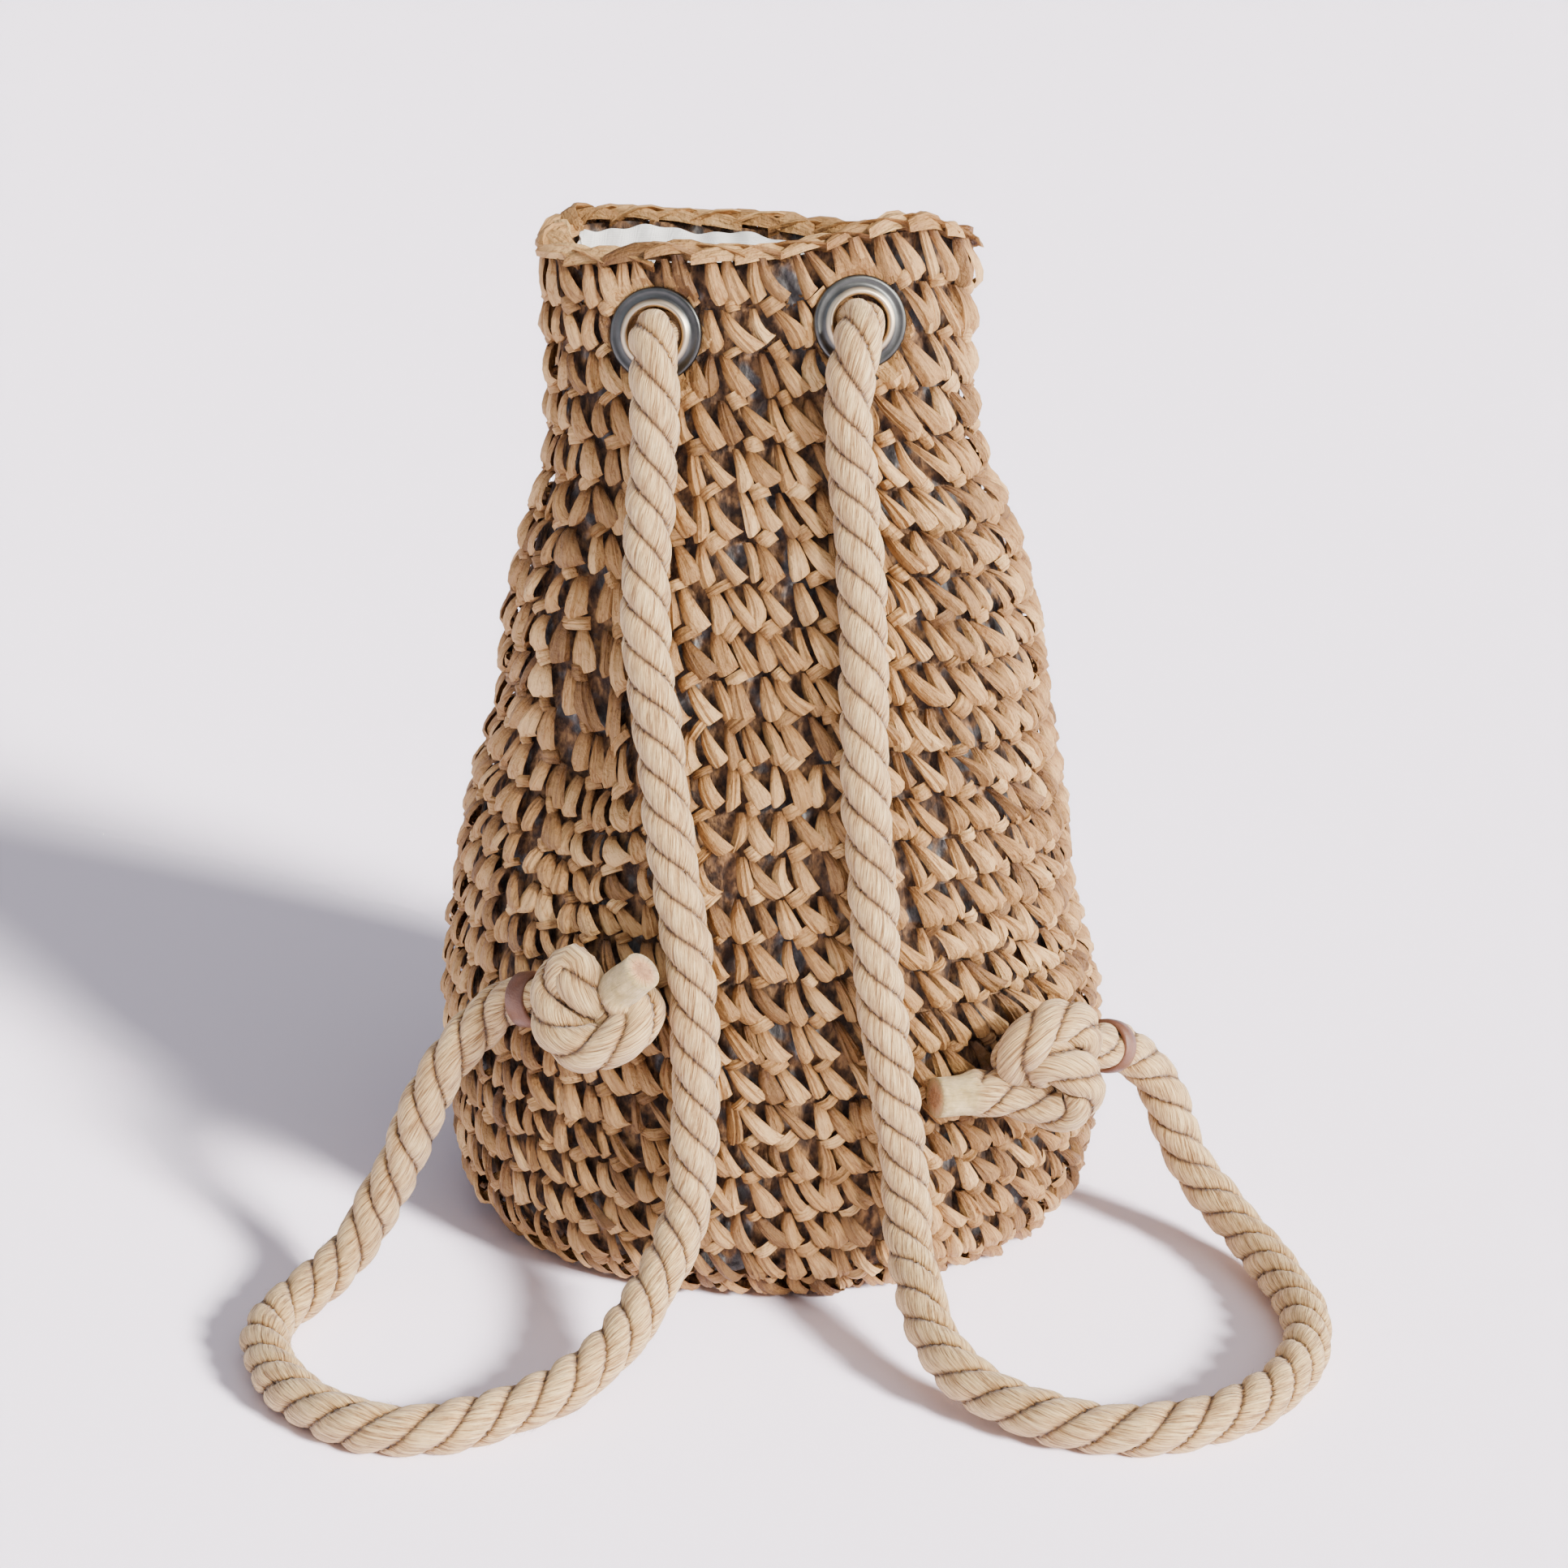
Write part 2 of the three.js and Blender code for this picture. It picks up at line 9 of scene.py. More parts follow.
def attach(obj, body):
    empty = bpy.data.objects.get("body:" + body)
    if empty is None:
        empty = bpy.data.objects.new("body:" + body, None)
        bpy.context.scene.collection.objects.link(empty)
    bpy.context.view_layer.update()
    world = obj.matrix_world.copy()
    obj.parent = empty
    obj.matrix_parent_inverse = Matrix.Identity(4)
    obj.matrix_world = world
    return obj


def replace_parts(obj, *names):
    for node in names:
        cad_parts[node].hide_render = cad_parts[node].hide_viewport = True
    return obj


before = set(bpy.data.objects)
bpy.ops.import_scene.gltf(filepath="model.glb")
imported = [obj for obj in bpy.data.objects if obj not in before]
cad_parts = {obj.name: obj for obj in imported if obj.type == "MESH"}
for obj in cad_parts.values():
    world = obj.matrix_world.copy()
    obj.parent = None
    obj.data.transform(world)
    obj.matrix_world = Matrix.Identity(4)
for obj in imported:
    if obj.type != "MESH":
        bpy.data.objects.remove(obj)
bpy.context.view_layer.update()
chance = np.random.default_rng(7)

# Straw wall, in metres
wall_height = 0.329
belly_half_width = 0.110
belly_half_depth = 0.101
wall_thickness = 0.0065
foot_radius = 0.024
round_count = 26
round_growth = 0.075
crest_share = 0.36
fold_depth = 0.009
slouch_drop = 0.012
rim_rise = 0.008
base_rounds = 7

# Wall from base to mouth: height as a share of the wall's, then width, front, back and shift as shares of the
# belly's, and squareness
sections = np.array([
    (0.073, 0.985, 1.000, 1.000, 0.000, 2.0),
    (0.150, 1.000, 1.005, 1.000, 0.000, 2.0),
    (0.245, 0.995, 0.995, 0.975, -0.010, 2.0),
    (0.330, 0.945, 0.955, 0.930, -0.030, 2.05),
    (0.435, 0.900, 0.895, 0.850, -0.022, 2.1),
    (0.540, 0.822, 0.825, 0.740, 0.000, 2.15),
    (0.640, 0.782, 0.735, 0.620, -0.004, 2.2),
    (0.740, 0.708, 0.620, 0.480, -0.012, 2.3),
    (0.800, 0.642, 0.535, 0.390, -0.022, 2.45),
    (0.890, 0.622, 0.445, 0.270, -0.036, 2.6),
    (1.000, 0.628, 0.385, 0.205, -0.042, 2.7),
])
# Folds: share of the way round, half width, depth, and the heights between which each runs
folds = [
    (-0.118, 0.030, 0.95, 0.36, 0.86),
    (0.082, 0.026, 0.70, 0.38, 0.90),
    (-0.020, 0.070, 0.40, 0.45, 0.80),
    (0.265, 0.026, 0.50, 0.66, 1.10),
    (-0.275, 0.024, 0.45, 0.62, 1.10),
    (0.430, 0.030, 0.55, 0.45, 0.98),
    (-0.400, 0.034, 0.65, 0.40, 0.95),
]
# Where the rounds sag: share of the way round, half width, drop, height, half height
slouches = [
    (-0.105, 0.045, 1.00, 0.53, 0.13),
    (0.060, 0.060, -0.25, 0.60, 0.20),
    (-0.330, 0.060, 0.50, 0.50, 0.16),
    (0.360, 0.060, 0.55, 0.56, 0.16),
]
# The mouth's edge: share of the way round, rise
rim_line = np.array([
    (-0.50, 0.40), (-0.35, 0.75), (-0.27, 0.30), (-0.20, -0.25), (-0.08, 0.00),
    (0.02, 0.10), (0.15, 1.05), (0.24, 0.10), (0.35, -0.10), (0.50, 0.40),
])

# Clearances, in metres
gap = 0.0003
floor_clearance = 0.0002

# Straw stitches, in metres
stitch_width, stitch_narrowing = 0.0152, 0.0017
stitch_backs_outside, stitch_backs_inside = 0.0034, 0.0058
chain_links = 25

# Lining, in metres
lining_below_edge = 0.0105
lining_gap, lining_slack, lining_thickness = 0.0015, 0.0026, 0.0006

# Eyelets and leather loops, in metres: heights are measured out from the wall
seat_depth = 0.0018
flange_front = 0.0015
flange_seat = gap - seat_depth
eyelet_back = -0.0105
eyelet_back_radius, eyelet_back_thickness = 0.0115, 0.0011
flange_radius, hole_radius, barrel_radius = 0.01475, 0.0086, 0.0097
press_width, press_reach = 0.0035, 0.02
leather_width = 0.0075

# Rope, in metres: a strand goes once round in its lay
rope_diameter = 0.0155
rope_radius = rope_diameter / 2
rope_strands = 3
rope_lay = 0.037
rope_ring_step = 0.0016
rope_sides = 36
rope_join = leather_width / 2 + gap
groove_depth, groove_sharpness = 0.29, 3.4
tape_lengths = {"left": 0.017, "right": 0.0165}
fibres_per_ring = 7
fibre_thickness = 0.00004
rope_left_route = [
    (-.0366, -.051, .2985), (-.0362, -.056, .284), (-.0374, -.0598, .262), (-.0392, -.0666, .238),
    (-.0389, -.0744, .214), (-.0354, -.0822, .19), (-.0326, -.0904, .166), (-.0292, -.0974, .142),
    (-.0252, -.1028, .118), (-.0241, -.1068, .092), (-.0245, -.1086, .066), (-.0262, -.111, .046),
    (-.0306, -.119, .0335), (-.0375, -.1325, .025), (-.0447, -.147, .0183), (-.0542, -.161, .014),
    (-.063, -.1695, .011), (-.0844, -.1822, .0082), (-.0982, -.1879, .0079), (-.1124, -.1889, .0079),
    (-.125, -.1841, .0079), (-.1372, -.1744, .0079), (-.1478, -.1611, .0079), (-.1546, -.1458, .0079),
    (-.158, -.131, .008), (-.1558, -.117, .0091), (-.1507, -.108, .0101), (-.144, -.0995, .013),
    (-.1376, -.0935, .0175), (-.1326, -.09, .0235), (-.1286, -.0875, .0307), (-.1195, -.0865, .0474),
    (-.1125, -.087, .0647), (-.1041, -.0845, .0804), (-.0972, -.082, .0882), (-.089, -.081, .0965),
]
rope_right_route = [
    (.0254, -.051, .302), (.0232, -.056, .287), (.025, -.0602, .262), (.0271, -.0684, .238),
    (.028, -.0767, .214), (.0283, -.0839, .19), (.0291, -.0906, .166), (.0311, -.0958, .142),
    (.0326, -.1, .117), (.0361, -.1034, .091), (.0402, -.1046, .064), (.0421, -.107, .045),
    (.0428, -.117, .0315), (.0456, -.1315, .024), (.0485, -.146, .0177), (.0558, -.163, .0136),
    (.0633, -.171, .0111), (.0754, -.1805, .0096), (.0905, -.187, .0084), (.107, -.1889, .0079),
    (.123, -.1855, .0079), (.1385, -.1774, .0079), (.1512, -.1651, .0079), (.1612, -.1483, .0079),
    (.1669, -.13, .0079), (.1677, -.112, .0079), (.1649, -.095, .0084), (.1613, -.08, .0096),
    (.1562, -.067, .0121), (.1504, -.057, .0166), (.1445, -.0505, .0225), (.1393, -.0465, .0295),
    (.135, -.0435, .0395), (.1315, -.043, .05), (.1265, -.0435, .0595), (.1205, -.0465, .0665),
]
rope_middle_route = [
    (-.032, -.017, .299), (-.021, -.005, .2965), (-.005, 0, .2955), (.011, -.005, .297), (.023, -.017, .3005),
]
# Share of the way round, round
eyelets = {"left": (-0.0941, 24.4), "right": (0.0924, 24.34)}
# Share of the way round, round, standoff, slope in degrees
leather_loops = {"left": (-0.1097, 8.94, 0.0135, 14), "right": (0.1724, 6.67, 0.017, 160)}
# Share of the way round, round, standoff and the way through the knot, in rope diameters: right, up, away
knots = {
    "left": (-0.0727, 9.1, 1.2, [
        (-0.62, 0.05, -0.42), (0.2, 0.02, -0.62), (0.86, 0.05, -0.3), (0.84, -0.33, 0.32),
        (0.12, -0.64, 0.56), (-0.54, -0.34, 0.5), (-0.8, 0.3, 0.22), (-0.44, 0.88, 0.1),
        (-0.16, 0.42, 0.22), (0.16, -0.12, -0.06), (0.46, 0.1, 0.0), (0.6, 0.5, 0.1),
        (0.96, 0.84, 0.22), (1.25, 1.08, 0.3),
    ]),
    "right": (0.1275, 7.02, 1.2, [
        (0.66, 0.36, -0.4), (0, 0.24, -0.62), (-0.72, 0.2, -0.3), (-0.74, 0.66, 0.1),
        (-0.1, 0.94, 0.2), (0.6, 0.72, 0.22), (0.74, 0.1, 0.02), (0.4, -0.34, -0.4),
        (-0.24, -0.16, -0.3), (-0.4, 0.26, 0.26), (0.02, 0.02, 0.56), (0.42, -0.46, 0.5),
        (0.2, -0.94, 0.2), (-0.3, -0.74, -0.2), (-0.87, -0.46, -0.5), (-1.5, -0.36, -0.74),
        (-2.1, -0.3, -0.93), (-2.44, -0.25, -1.03),
    ]),
}

foot_arc = foot_radius * math.pi / 2
wall_run = foot_arc + wall_height - foot_radius
# How finely the wall's tables are worked out
grid_columns = 504
grid_rows_per_round = 8
grid_levels = 320
outline_steps = 720


def unit(v):
    return v / np.maximum(np.linalg.norm(v, axis=-1, keepdims=True), 1e-9)


def blend(low, high, x):
    share = np.clip((x - low) / (high - low), 0, 1)
    return share * share * (3 - 2 * share)


def bell(x):
    return np.exp(-x * x)


def nearest_turn(x):
    return x - np.round(x)


def cubic(places, values, x):
    """Smooth curve through a table, with straight ends."""
    x = np.clip(x, places[0], places[-1])
    k = np.clip(np.searchsorted(places, x, side="right"), 1, len(places) - 1)
    first, last = k == 1, k == len(places) - 1
    start, end = places[k - 1], places[k]
    before = np.where(first, k, k - 2)
    after = np.where(last, k - 1, np.minimum(k + 1, len(places) - 1))
    half = (end - start) / 2
    w_before = half / (start - np.where(first, end, places[before]))
    w_after = half / (np.where(last, start, places[after]) - end)
    p = (x - start) / (end - start)
    weights = (
        -w_before * p**3 + 2 * w_before * p**2 - w_before * p,
        (1 + w_before) * p**3 + (-1.5 - 2 * w_before) * p**2 + (-0.5 + w_before) * p + 1,
        (-1 - w_after) * p**3 + (1.5 + w_after) * p**2 + 0.5 * p,
        w_after * p**3 - w_after * p**2,
    )
    return sum(w * values[i] for w, i in zip(weights, (before, k - 1, k, after)))


def round_run(rounds):
    share = rounds / round_count
    return wall_run * share * (1 + round_growth * (share - 1))


class Wall:
    """The bag's outer surface, looked up by share of the way round and by round."""

    def __init__(self):
        around = np.arange(grid_columns) / grid_columns - 0.5
        place = self.folded_rows(around)
        base_shares = np.arange(base_rounds * grid_rows_per_round) / (base_rounds * grid_rows_per_round)
        base = place[0][None] * base_shares[:, None, None]
        base[..., 2] = 0
        self.place = np.concatenate([base, place])
        right = np.roll(self.place, -2, 1) - np.roll(self.place, 2, 1)
        up = np.gradient(self.place, axis=0)
        out = unit(np.cross(right, up))
        out[:len(base) + 1] = (0, 0, -1)
        self.out = unit(sum(np.roll(out, i, 1) for i in (-2, -1, 0, 1, 2)))
        self.girth = np.linalg.norm(np.roll(self.place, -1, 1) - self.place, axis=-1).sum(1)

    @staticmethod
    def outlines(around):
        """Level outlines before the folds, from the foot to the mouth, as points evenly spaced round each."""
        turn = np.linspace(-math.pi, math.pi, outline_steps + 1)
        s, c = np.sin(turn), np.cos(turn)
        points = np.empty((grid_levels, grid_columns, 2))
        for i, level in enumerate(np.linspace(foot_radius, wall_height, grid_levels)):
            width, front, back, shift, squareness = (
                cubic(sections[:, 0], sections[:, j], np.array(level / wall_height)) for j in range(1, 6))
            x = belly_half_width * (shift + width * np.sign(s) * np.abs(s) ** (2 / squareness))
            y = -belly_half_depth * np.where(c > 0, front, back) * np.sign(c) * np.abs(c) ** (2 / squareness)
            lengths = np.concatenate([[0], np.cumsum(np.hypot(np.diff(x), np.diff(y)))])
            wanted = (around + 0.5) * lengths[-1]
            points[i] = np.stack([np.interp(wanted, lengths, x), np.interp(wanted, lengths, y)], -1)
        return points

    def folded_rows(self, around):
        """Points of the wall, row by row up the rounds, with its folds and sags and the mouth's rise."""
        points = self.outlines(around)
        across = np.roll(points, -2, 1) - np.roll(points, 2, 1)
        normals = unit(np.stack([across[..., 1], -across[..., 0]], -1))
        along = round_run(np.arange(round_count * grid_rows_per_round + 1) / grid_rows_per_round)[:, None]
        curl = np.minimum(along, foot_arc) / foot_radius
        flat = foot_radius * (1 - np.cos(curl)) + np.maximum(along - foot_arc, 0)
        rise = rim_rise * cubic(rim_line[:, 0], rim_line[:, 1], around) * blend(0.8, 1, flat / wall_height)
        height = flat + rise - sum(
            slouch_drop * drop * bell(nearest_turn(around - a) / half) * bell((flat / wall_height - h) / half_h)
            for a, half, drop, h, half_h in slouches)
        level = np.maximum(height, foot_radius)
        inset = foot_radius * (1 - np.sin(curl)) + sum(
            fold_depth * depth * bell(nearest_turn(around - a) / half)
            * (1 - blend(0.3, 1, np.abs(level / wall_height - (low + high) / 2) / ((high - low) / 2)))
            for a, half, depth, low, high in folds)
        row = (level - foot_radius) / (wall_height - foot_radius) * (grid_levels - 1)
        row = np.clip(row, 0, grid_levels - 1.001)
        row_low = row.astype(int)
        share = (row - row_low)[..., None]
        column = np.broadcast_to(np.arange(grid_columns), row.shape)
        point = points[row_low, column] * (1 - share) + points[row_low + 1, column] * share
        normal = normals[row_low, column] * (1 - share) + normals[row_low + 1, column] * share
        return np.concatenate([point - normal * inset[..., None], height[..., None]], -1)

    def look(self, table, around, rounds):
        """A value of a table of the wall, between its rows and columns."""
        row = np.clip((rounds + base_rounds) * grid_rows_per_round, 0, len(self.place) - 1.001)
        column = (around + 0.5) * grid_columns
        r, c = row.astype(int), np.floor(column).astype(int)
        fr, fc = (row - r)[..., None], (column - c)[..., None]
        c0, c1 = c % grid_columns, (c + 1) % grid_columns
        return ((table[r, c0] * (1 - fc) + table[r, c1] * fc) * (1 - fr)
                + (table[r + 1, c0] * (1 - fc) + table[r + 1, c1] * fc) * fr)

    def at(self, around, rounds, away=0.0):
        """Point of the wall, moved away from it. Past the last round it goes on straight up."""
        around, rounds, away = np.broadcast_arrays(
            np.asarray(around, float), np.asarray(rounds, float), np.asarray(away, float))
        place = self.look(self.place, around, np.minimum(rounds, round_count))
        out = self.look(self.out, around, np.minimum(rounds, round_count))
        over = np.maximum(rounds - round_count, 0) * (round_run(round_count) - round_run(round_count - 1))
        place = place + out * away[..., None]
        place[..., 2] += over
        return place

    def girth_at(self, rounds):
        row = (rounds + base_rounds) * grid_rows_per_round
        return float(np.interp(row, np.arange(len(self.girth)), self.girth))

    def seat(self, around, rounds):
        """Origin and axes of a place on the wall: right, up and out."""
        right = unit(self.at(around + 0.004, rounds) - self.at(around - 0.004, rounds))
        up = self.at(around, rounds + 0.3) - self.at(around, rounds - 0.3)
        out = unit(np.cross(right, up))
        return self.at(around, rounds), right, np.cross(out, right), out


wall = Wall()


# Camera and light

camera_pitch = 17.67
picture_width, focal_length = 1932, 3800
sensor_width = 36

camera = bpy.data.objects.new("camera", bpy.data.cameras.new("camera"))
camera.data.lens = focal_length / picture_width * sensor_width
camera.data.sensor_width = sensor_width
camera.location = (0.0035, -0.995, 0.464)
camera.rotation_euler = (math.radians(90 - camera_pitch), 0, 0)
bpy.context.scene.collection.objects.link(camera)
bpy.context.scene.camera = camera


def sun(name, towards, softness, power, colour):
    """An even light: towards points to it, and softness is how wide it looks, in degrees."""
    lamp = bpy.data.lights.new(name, "SUN")
    lamp.angle = math.radians(softness)
    lamp.energy = power
    lamp.color = colour
    thing = bpy.data.objects.new(name, lamp)
    thing.location = Vector(towards).normalized() * 2
    thing.rotation_euler = Vector(towards).to_track_quat("Z", "Y").to_euler()
    bpy.context.scene.collection.objects.link(thing)
    return thing


key_way = (0.70, -0.70, 0.45)
sun("key_light", key_way, softness=7, power=5.0, colour=(1.0, 0.96, 0.91))
left_fill = sun("left_fill", (-0.80, -0.50, 0.40), softness=70, power=1.2, colour=(0.80, 0.88, 1.0))
right_light = sun("right_light", (0.97, -0.15, 0.30), softness=50, power=7.4, colour=(1.0, 0.96, 0.90))
sun("top_light", (0.25, -0.45, 0.86), softness=50, power=0.9, colour=(1.0, 0.98, 0.97))

world = bpy.data.worlds.new("studio")
bpy.context.scene.world = world
world.use_nodes = True
background = world.node_tree.nodes["Background"].inputs
background["Color"].default_value = (0.84, 0.86, 1.0, 1)
background["Strength"].default_value = 0.38


# Finishes

white, black = (1, 1, 1, 1), (0, 0, 0, 1)


def linear(*screen):
    """A colour as a screen shows it, 0 to 255, in the shader's own numbers."""
    return tuple(c / 255 / 12.92 if c <= 10 else ((c / 255 + 0.055) / 1.055) ** 2.4 for c in screen) + (1,)


class Finish:
    """A material and short words for its nodes."""

    def __init__(self, name, roughness, **sockets):
        self.material = bpy.data.materials.new(name)
        self.material.use_nodes = True
        self.nodes = self.material.node_tree.nodes
        self.links = self.material.node_tree.links
        self.shader = self.nodes["Principled BSDF"]
        self.shader.inputs["Roughness"].default_value = roughness
        for socket, value in sockets.items():
            self.shader.inputs[socket.replace("_", " ")].default_value = value

    def node(self, kind, inputs=(), **settings):
        made = self.nodes.new("ShaderNode" + kind)
        for key, value in settings.items():
            setattr(made, key, value)
        for key, value in dict(inputs).items():
            if isinstance(value, bpy.types.NodeSocket):
                self.links.new(value, made.inputs[key])
            else:
                made.inputs[key].default_value = value
        return made

    def scaled(self, place, scale):
        return self.node("Mapping", {"Vector": place, "Scale": scale}).outputs["Vector"]

    def object_place(self, scale=(1, 1, 1)):
        return self.scaled(self.node("TexCoord").outputs["Object"], scale)

    def leaf_place(self, scale):
        return self.scaled(self.node("UVMap", uv_map="leaf").outputs["UV"], scale)

    def own(self, name, output="Fac"):
        return self.node("Attribute", attribute_name=name).outputs[output]

    def noise(self, place, scale=1.0, detail=3.0, roughness=0.55):
        return self.node("TexNoise", {"Vector": place, "Scale": scale, "Detail": detail,
                                      "Roughness": roughness}).outputs["Fac"]

    def reckon(self, a, operation, b):
        return self.node("Math", {0: a, 1: b}, operation=operation).outputs[0]

    def ramp(self, fac, *stops):
        made = self.node("ValToRGB", {"Fac": fac})
        elements = made.color_ramp.elements
        while len(elements) < len(stops):
            elements.new(0.5)
        for element, (position, colour) in zip(elements, stops):
            element.position = position
            element.color = colour
        return made.outputs["Color"]

    def mix(self, fac, a, b, blend_type="MIX"):
        """Two colours as one: a Mix node's colour sockets have the numbers 6, 7 and 2."""
        return self.node("Mix", {0: fac, 6: a, 7: b}, data_type="RGBA", blend_type=blend_type).outputs[2]

    def colour(self, socket):
        self.links.new(socket, self.shader.inputs["Base Color"])

    def gloss(self, socket):
        self.links.new(socket, self.shader.inputs["Roughness"])

    def relief(self, *layers):
        """Bumps of (height, distance, strength), one over another."""
        normal = None
        for height, distance, strength in layers:
            inputs = {"Height": height, "Distance": distance, "Strength": strength}
            if normal is not None:
                inputs["Normal"] = normal
            normal = self.node("Bump", inputs).outputs["Normal"]
        self.links.new(normal, self.shader.inputs["Normal"])


def straw_finish():
    f = Finish("crumpled_paper_straw", 0.62, Specular_IOR_Level=0.35)
    fibres = f.noise(f.leaf_place((1500, 170, 1)), 1, 4, 0.6)
    creases = f.noise(f.leaf_place((400, 60, 1)), 1, 2, 0.5)
    crumple = f.noise(f.object_place(), 420, 3, 0.6)
    tone = f.reckon(f.reckon(f.own("shade"), "MULTIPLY", 0.55), "ADD", f.reckon(fibres, "MULTIPLY", 0.45))
    base = f.ramp(tone, (0.26, linear(112, 79, 42)), (0.5, linear(168, 128, 78)), (0.74, linear(206, 168, 114)))
    # Painted shade: a thin darker line along the crease lines of the crumpled straw
    fold_shade_line = f.ramp(creases, (0.45, white), (0.475, (0.66, 0.56, 0.47, 1)), (0.50, white))
    # Painted shade: the leaves darken where they slip under the round above, on their backs, at their low tips
    # and along their edges
    tuck_shade_colour = f.ramp(f.own("tuck_shade"), (0.0, white), (0.45, (0.74, 0.66, 0.58, 1)), (1.0, (0.30, 0.23, 0.18, 1)))
    f.colour(f.mix(1.0, f.mix(1.0, base, fold_shade_line, "MULTIPLY"), tuck_shade_colour, "MULTIPLY"))
    f.gloss(f.node("MapRange", {"Value": fibres, "To Min": 0.46, "To Max": 0.78}).outputs[0])
    f.relief((crumple, 0.0020, 0.6), (creases, 0.0022, 0.7), (fibres, 0.0005, 0.6))
    return f.material


def deep_straw_finish():
    f = Finish("straw_in_shadow", 0.9)
    streaks = f.noise(f.object_place((1, 1, 0.6)), 300, 3)
    patches = f.noise(f.object_place(), 90, 2)
    # Painted shade: the backs are dark brown as straw in shade, with slate-grey patches and pale glints painted
    # for the lining seen in shade through the gaps
    brown = f.ramp(streaks, (0.40, linear(56, 40, 30)), (0.53, linear(100, 72, 48)),
                   (0.66, linear(156, 116, 76)))
    painted_lining_shade = f.ramp(streaks, (0.38, linear(60, 57, 56)), (0.60, linear(104, 101, 99)),
                   (0.74, linear(180, 176, 172)))
    f.colour(f.mix(f.ramp(patches, (0.56, black), (0.65, white)), brown, painted_lining_shade))
    f.relief((streaks, 0.0025, 0.9))
    return f.material


def rope_finish():
    f = Finish("twisted_natural_cotton", 0.9, Sheen_Weight=0.3, Sheen_Roughness=0.5, Specular_IOR_Level=0.2)
    lay = f.own("lay", "Vector")
    fibres = f.noise(f.scaled(lay, (1, 1, 0.07)), 2300, 3, 0.62)
    yarns = f.noise(f.scaled(lay, (1, 1, 0.06)), 900, 2, 0.5)
    specks = f.noise(f.object_place(), 900, 2)
    turned = f.node("SeparateXYZ", {"Vector": f.own("strand", "Vector")}).outputs
    angle = f.reckon(turned["Y"], "ARCTAN2", turned["X"])
    strand = f.reckon(f.reckon(angle, "MULTIPLY", rope_strands / (2 * math.pi)), "ADD", 4.0)
    from_crown = f.reckon(f.reckon(f.reckon(strand, "FRACT", 1.0), "SUBTRACT", 0.5), "ABSOLUTE", 1.0)
    bare = f.reckon(1.0, "SUBTRACT", f.own("tape"))
    groove = f.reckon(f.reckon(from_crown, "MULTIPLY", 2.0), "MULTIPLY", bare)
    tone = f.reckon(f.reckon(fibres, "MULTIPLY", 0.65), "ADD", f.reckon(yarns, "MULTIPLY", 0.35))
    cotton = f.ramp(tone, (0.38, linear(138, 102, 62)), (0.50, linear(202, 166, 114)),
                    (0.60, linear(232, 201, 146)))
    shadow = f.ramp(groove, (0.0, white), (0.72, (0.94, 0.90, 0.85, 1)), (0.91, (0.70, 0.59, 0.48, 1)),
                    (0.975, (0.42, 0.31, 0.22, 1)))
    cotton = f.mix(1.0, cotton, shadow, "MULTIPLY")
    tape = f.ramp(f.noise(f.object_place(), 320, 3), (0.35, linear(178, 152, 98)), (0.7, linear(222, 196, 142)))
    cut = f.ramp(specks, (0.35, linear(190, 128, 78)), (0.7, linear(230, 172, 118)))
    f.colour(f.mix(f.own("tape"), cotton, f.mix(f.own("cut"), tape, cut)))
    dip = f.reckon(1.0, "SUBTRACT", f.reckon(groove, "POWER", 12.0))
    f.relief((dip, 0.0030, 0.8), (yarns, 0.0012, 0.6), (fibres, 0.0009, 0.9), (specks, 0.0004, 0.4))
    return f.material


def steel_finish():
    f = Finish("satin_nickel", 0.3, Metallic=1.0)
    cloud = f.noise(f.object_place(), 130, 3)
    scratches = f.noise(f.object_place((1, 1, 6)), 900, 2)
    nickel = f.ramp(cloud, (0.3, linear(68, 69, 68)), (0.75, linear(94, 95, 93)))
    f.colour(f.mix(f.own("barrel"), nickel, linear(196, 178, 150)))
    f.gloss(f.node("MapRange", {"Value": scratches, "To Min": 0.30, "To Max": 0.44}).outputs[0])
    f.relief((scratches, 0.00005, 0.25))
    return f.material


def leather_finish():
    f = Finish("brown_leather", 0.42, Specular_IOR_Level=0.45)
    grain = f.node("TexVoronoi", {"Vector": f.object_place(), "Scale": 1500.0}).outputs["Distance"]
    cloud = f.noise(f.object_place(), 160, 3)
    f.colour(f.ramp(cloud, (0.3, linear(88, 54, 38)), (0.75, linear(122, 80, 58))))
    f.gloss(f.node("MapRange", {"Value": cloud, "To Min": 0.34, "To Max": 0.55}).outputs[0])
    f.relief((grain, 0.0002, 0.4))
    return f.material


def lining_finish():
    f = Finish("off_white_lining", 0.85, Sheen_Weight=0.15)
    place = f.node("UVMap", uv_map="cloth").outputs["UV"]
    weft = f.node("TexWave", {"Vector": place, "Scale": 520.0}, bands_direction="X").outputs["Fac"]
    warp = f.node("TexWave", {"Vector": place, "Scale": 520.0}, bands_direction="Y").outputs["Fac"]
    slub = f.noise(f.object_place(), 160, 3)
    f.colour(f.ramp(slub, (0.3, linear(226, 224, 220)), (0.7, linear(243, 242, 238))))
    f.relief((weft, 0.0002, 0.4), (warp, 0.0002, 0.4), (slub, 0.0008, 0.3))
    return f.material


def floor_finish():
    f = Finish("pale_studio_floor", 0.9, Specular_IOR_Level=0.1)
    f.shader.inputs["Base Color"].default_value = (0.91, 0.84, 0.93, 1)
    return f.material


# Shapes shared by the pieces

def show(mesh, material):
    piece = bpy.data.objects.new(mesh.name, mesh)
    bpy.context.scene.collection.objects.link(piece)
    mesh.materials.append(material)
    mesh.polygons.foreach_set("use_smooth", np.ones(len(mesh.polygons), bool))
    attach(piece, "root")
    return piece


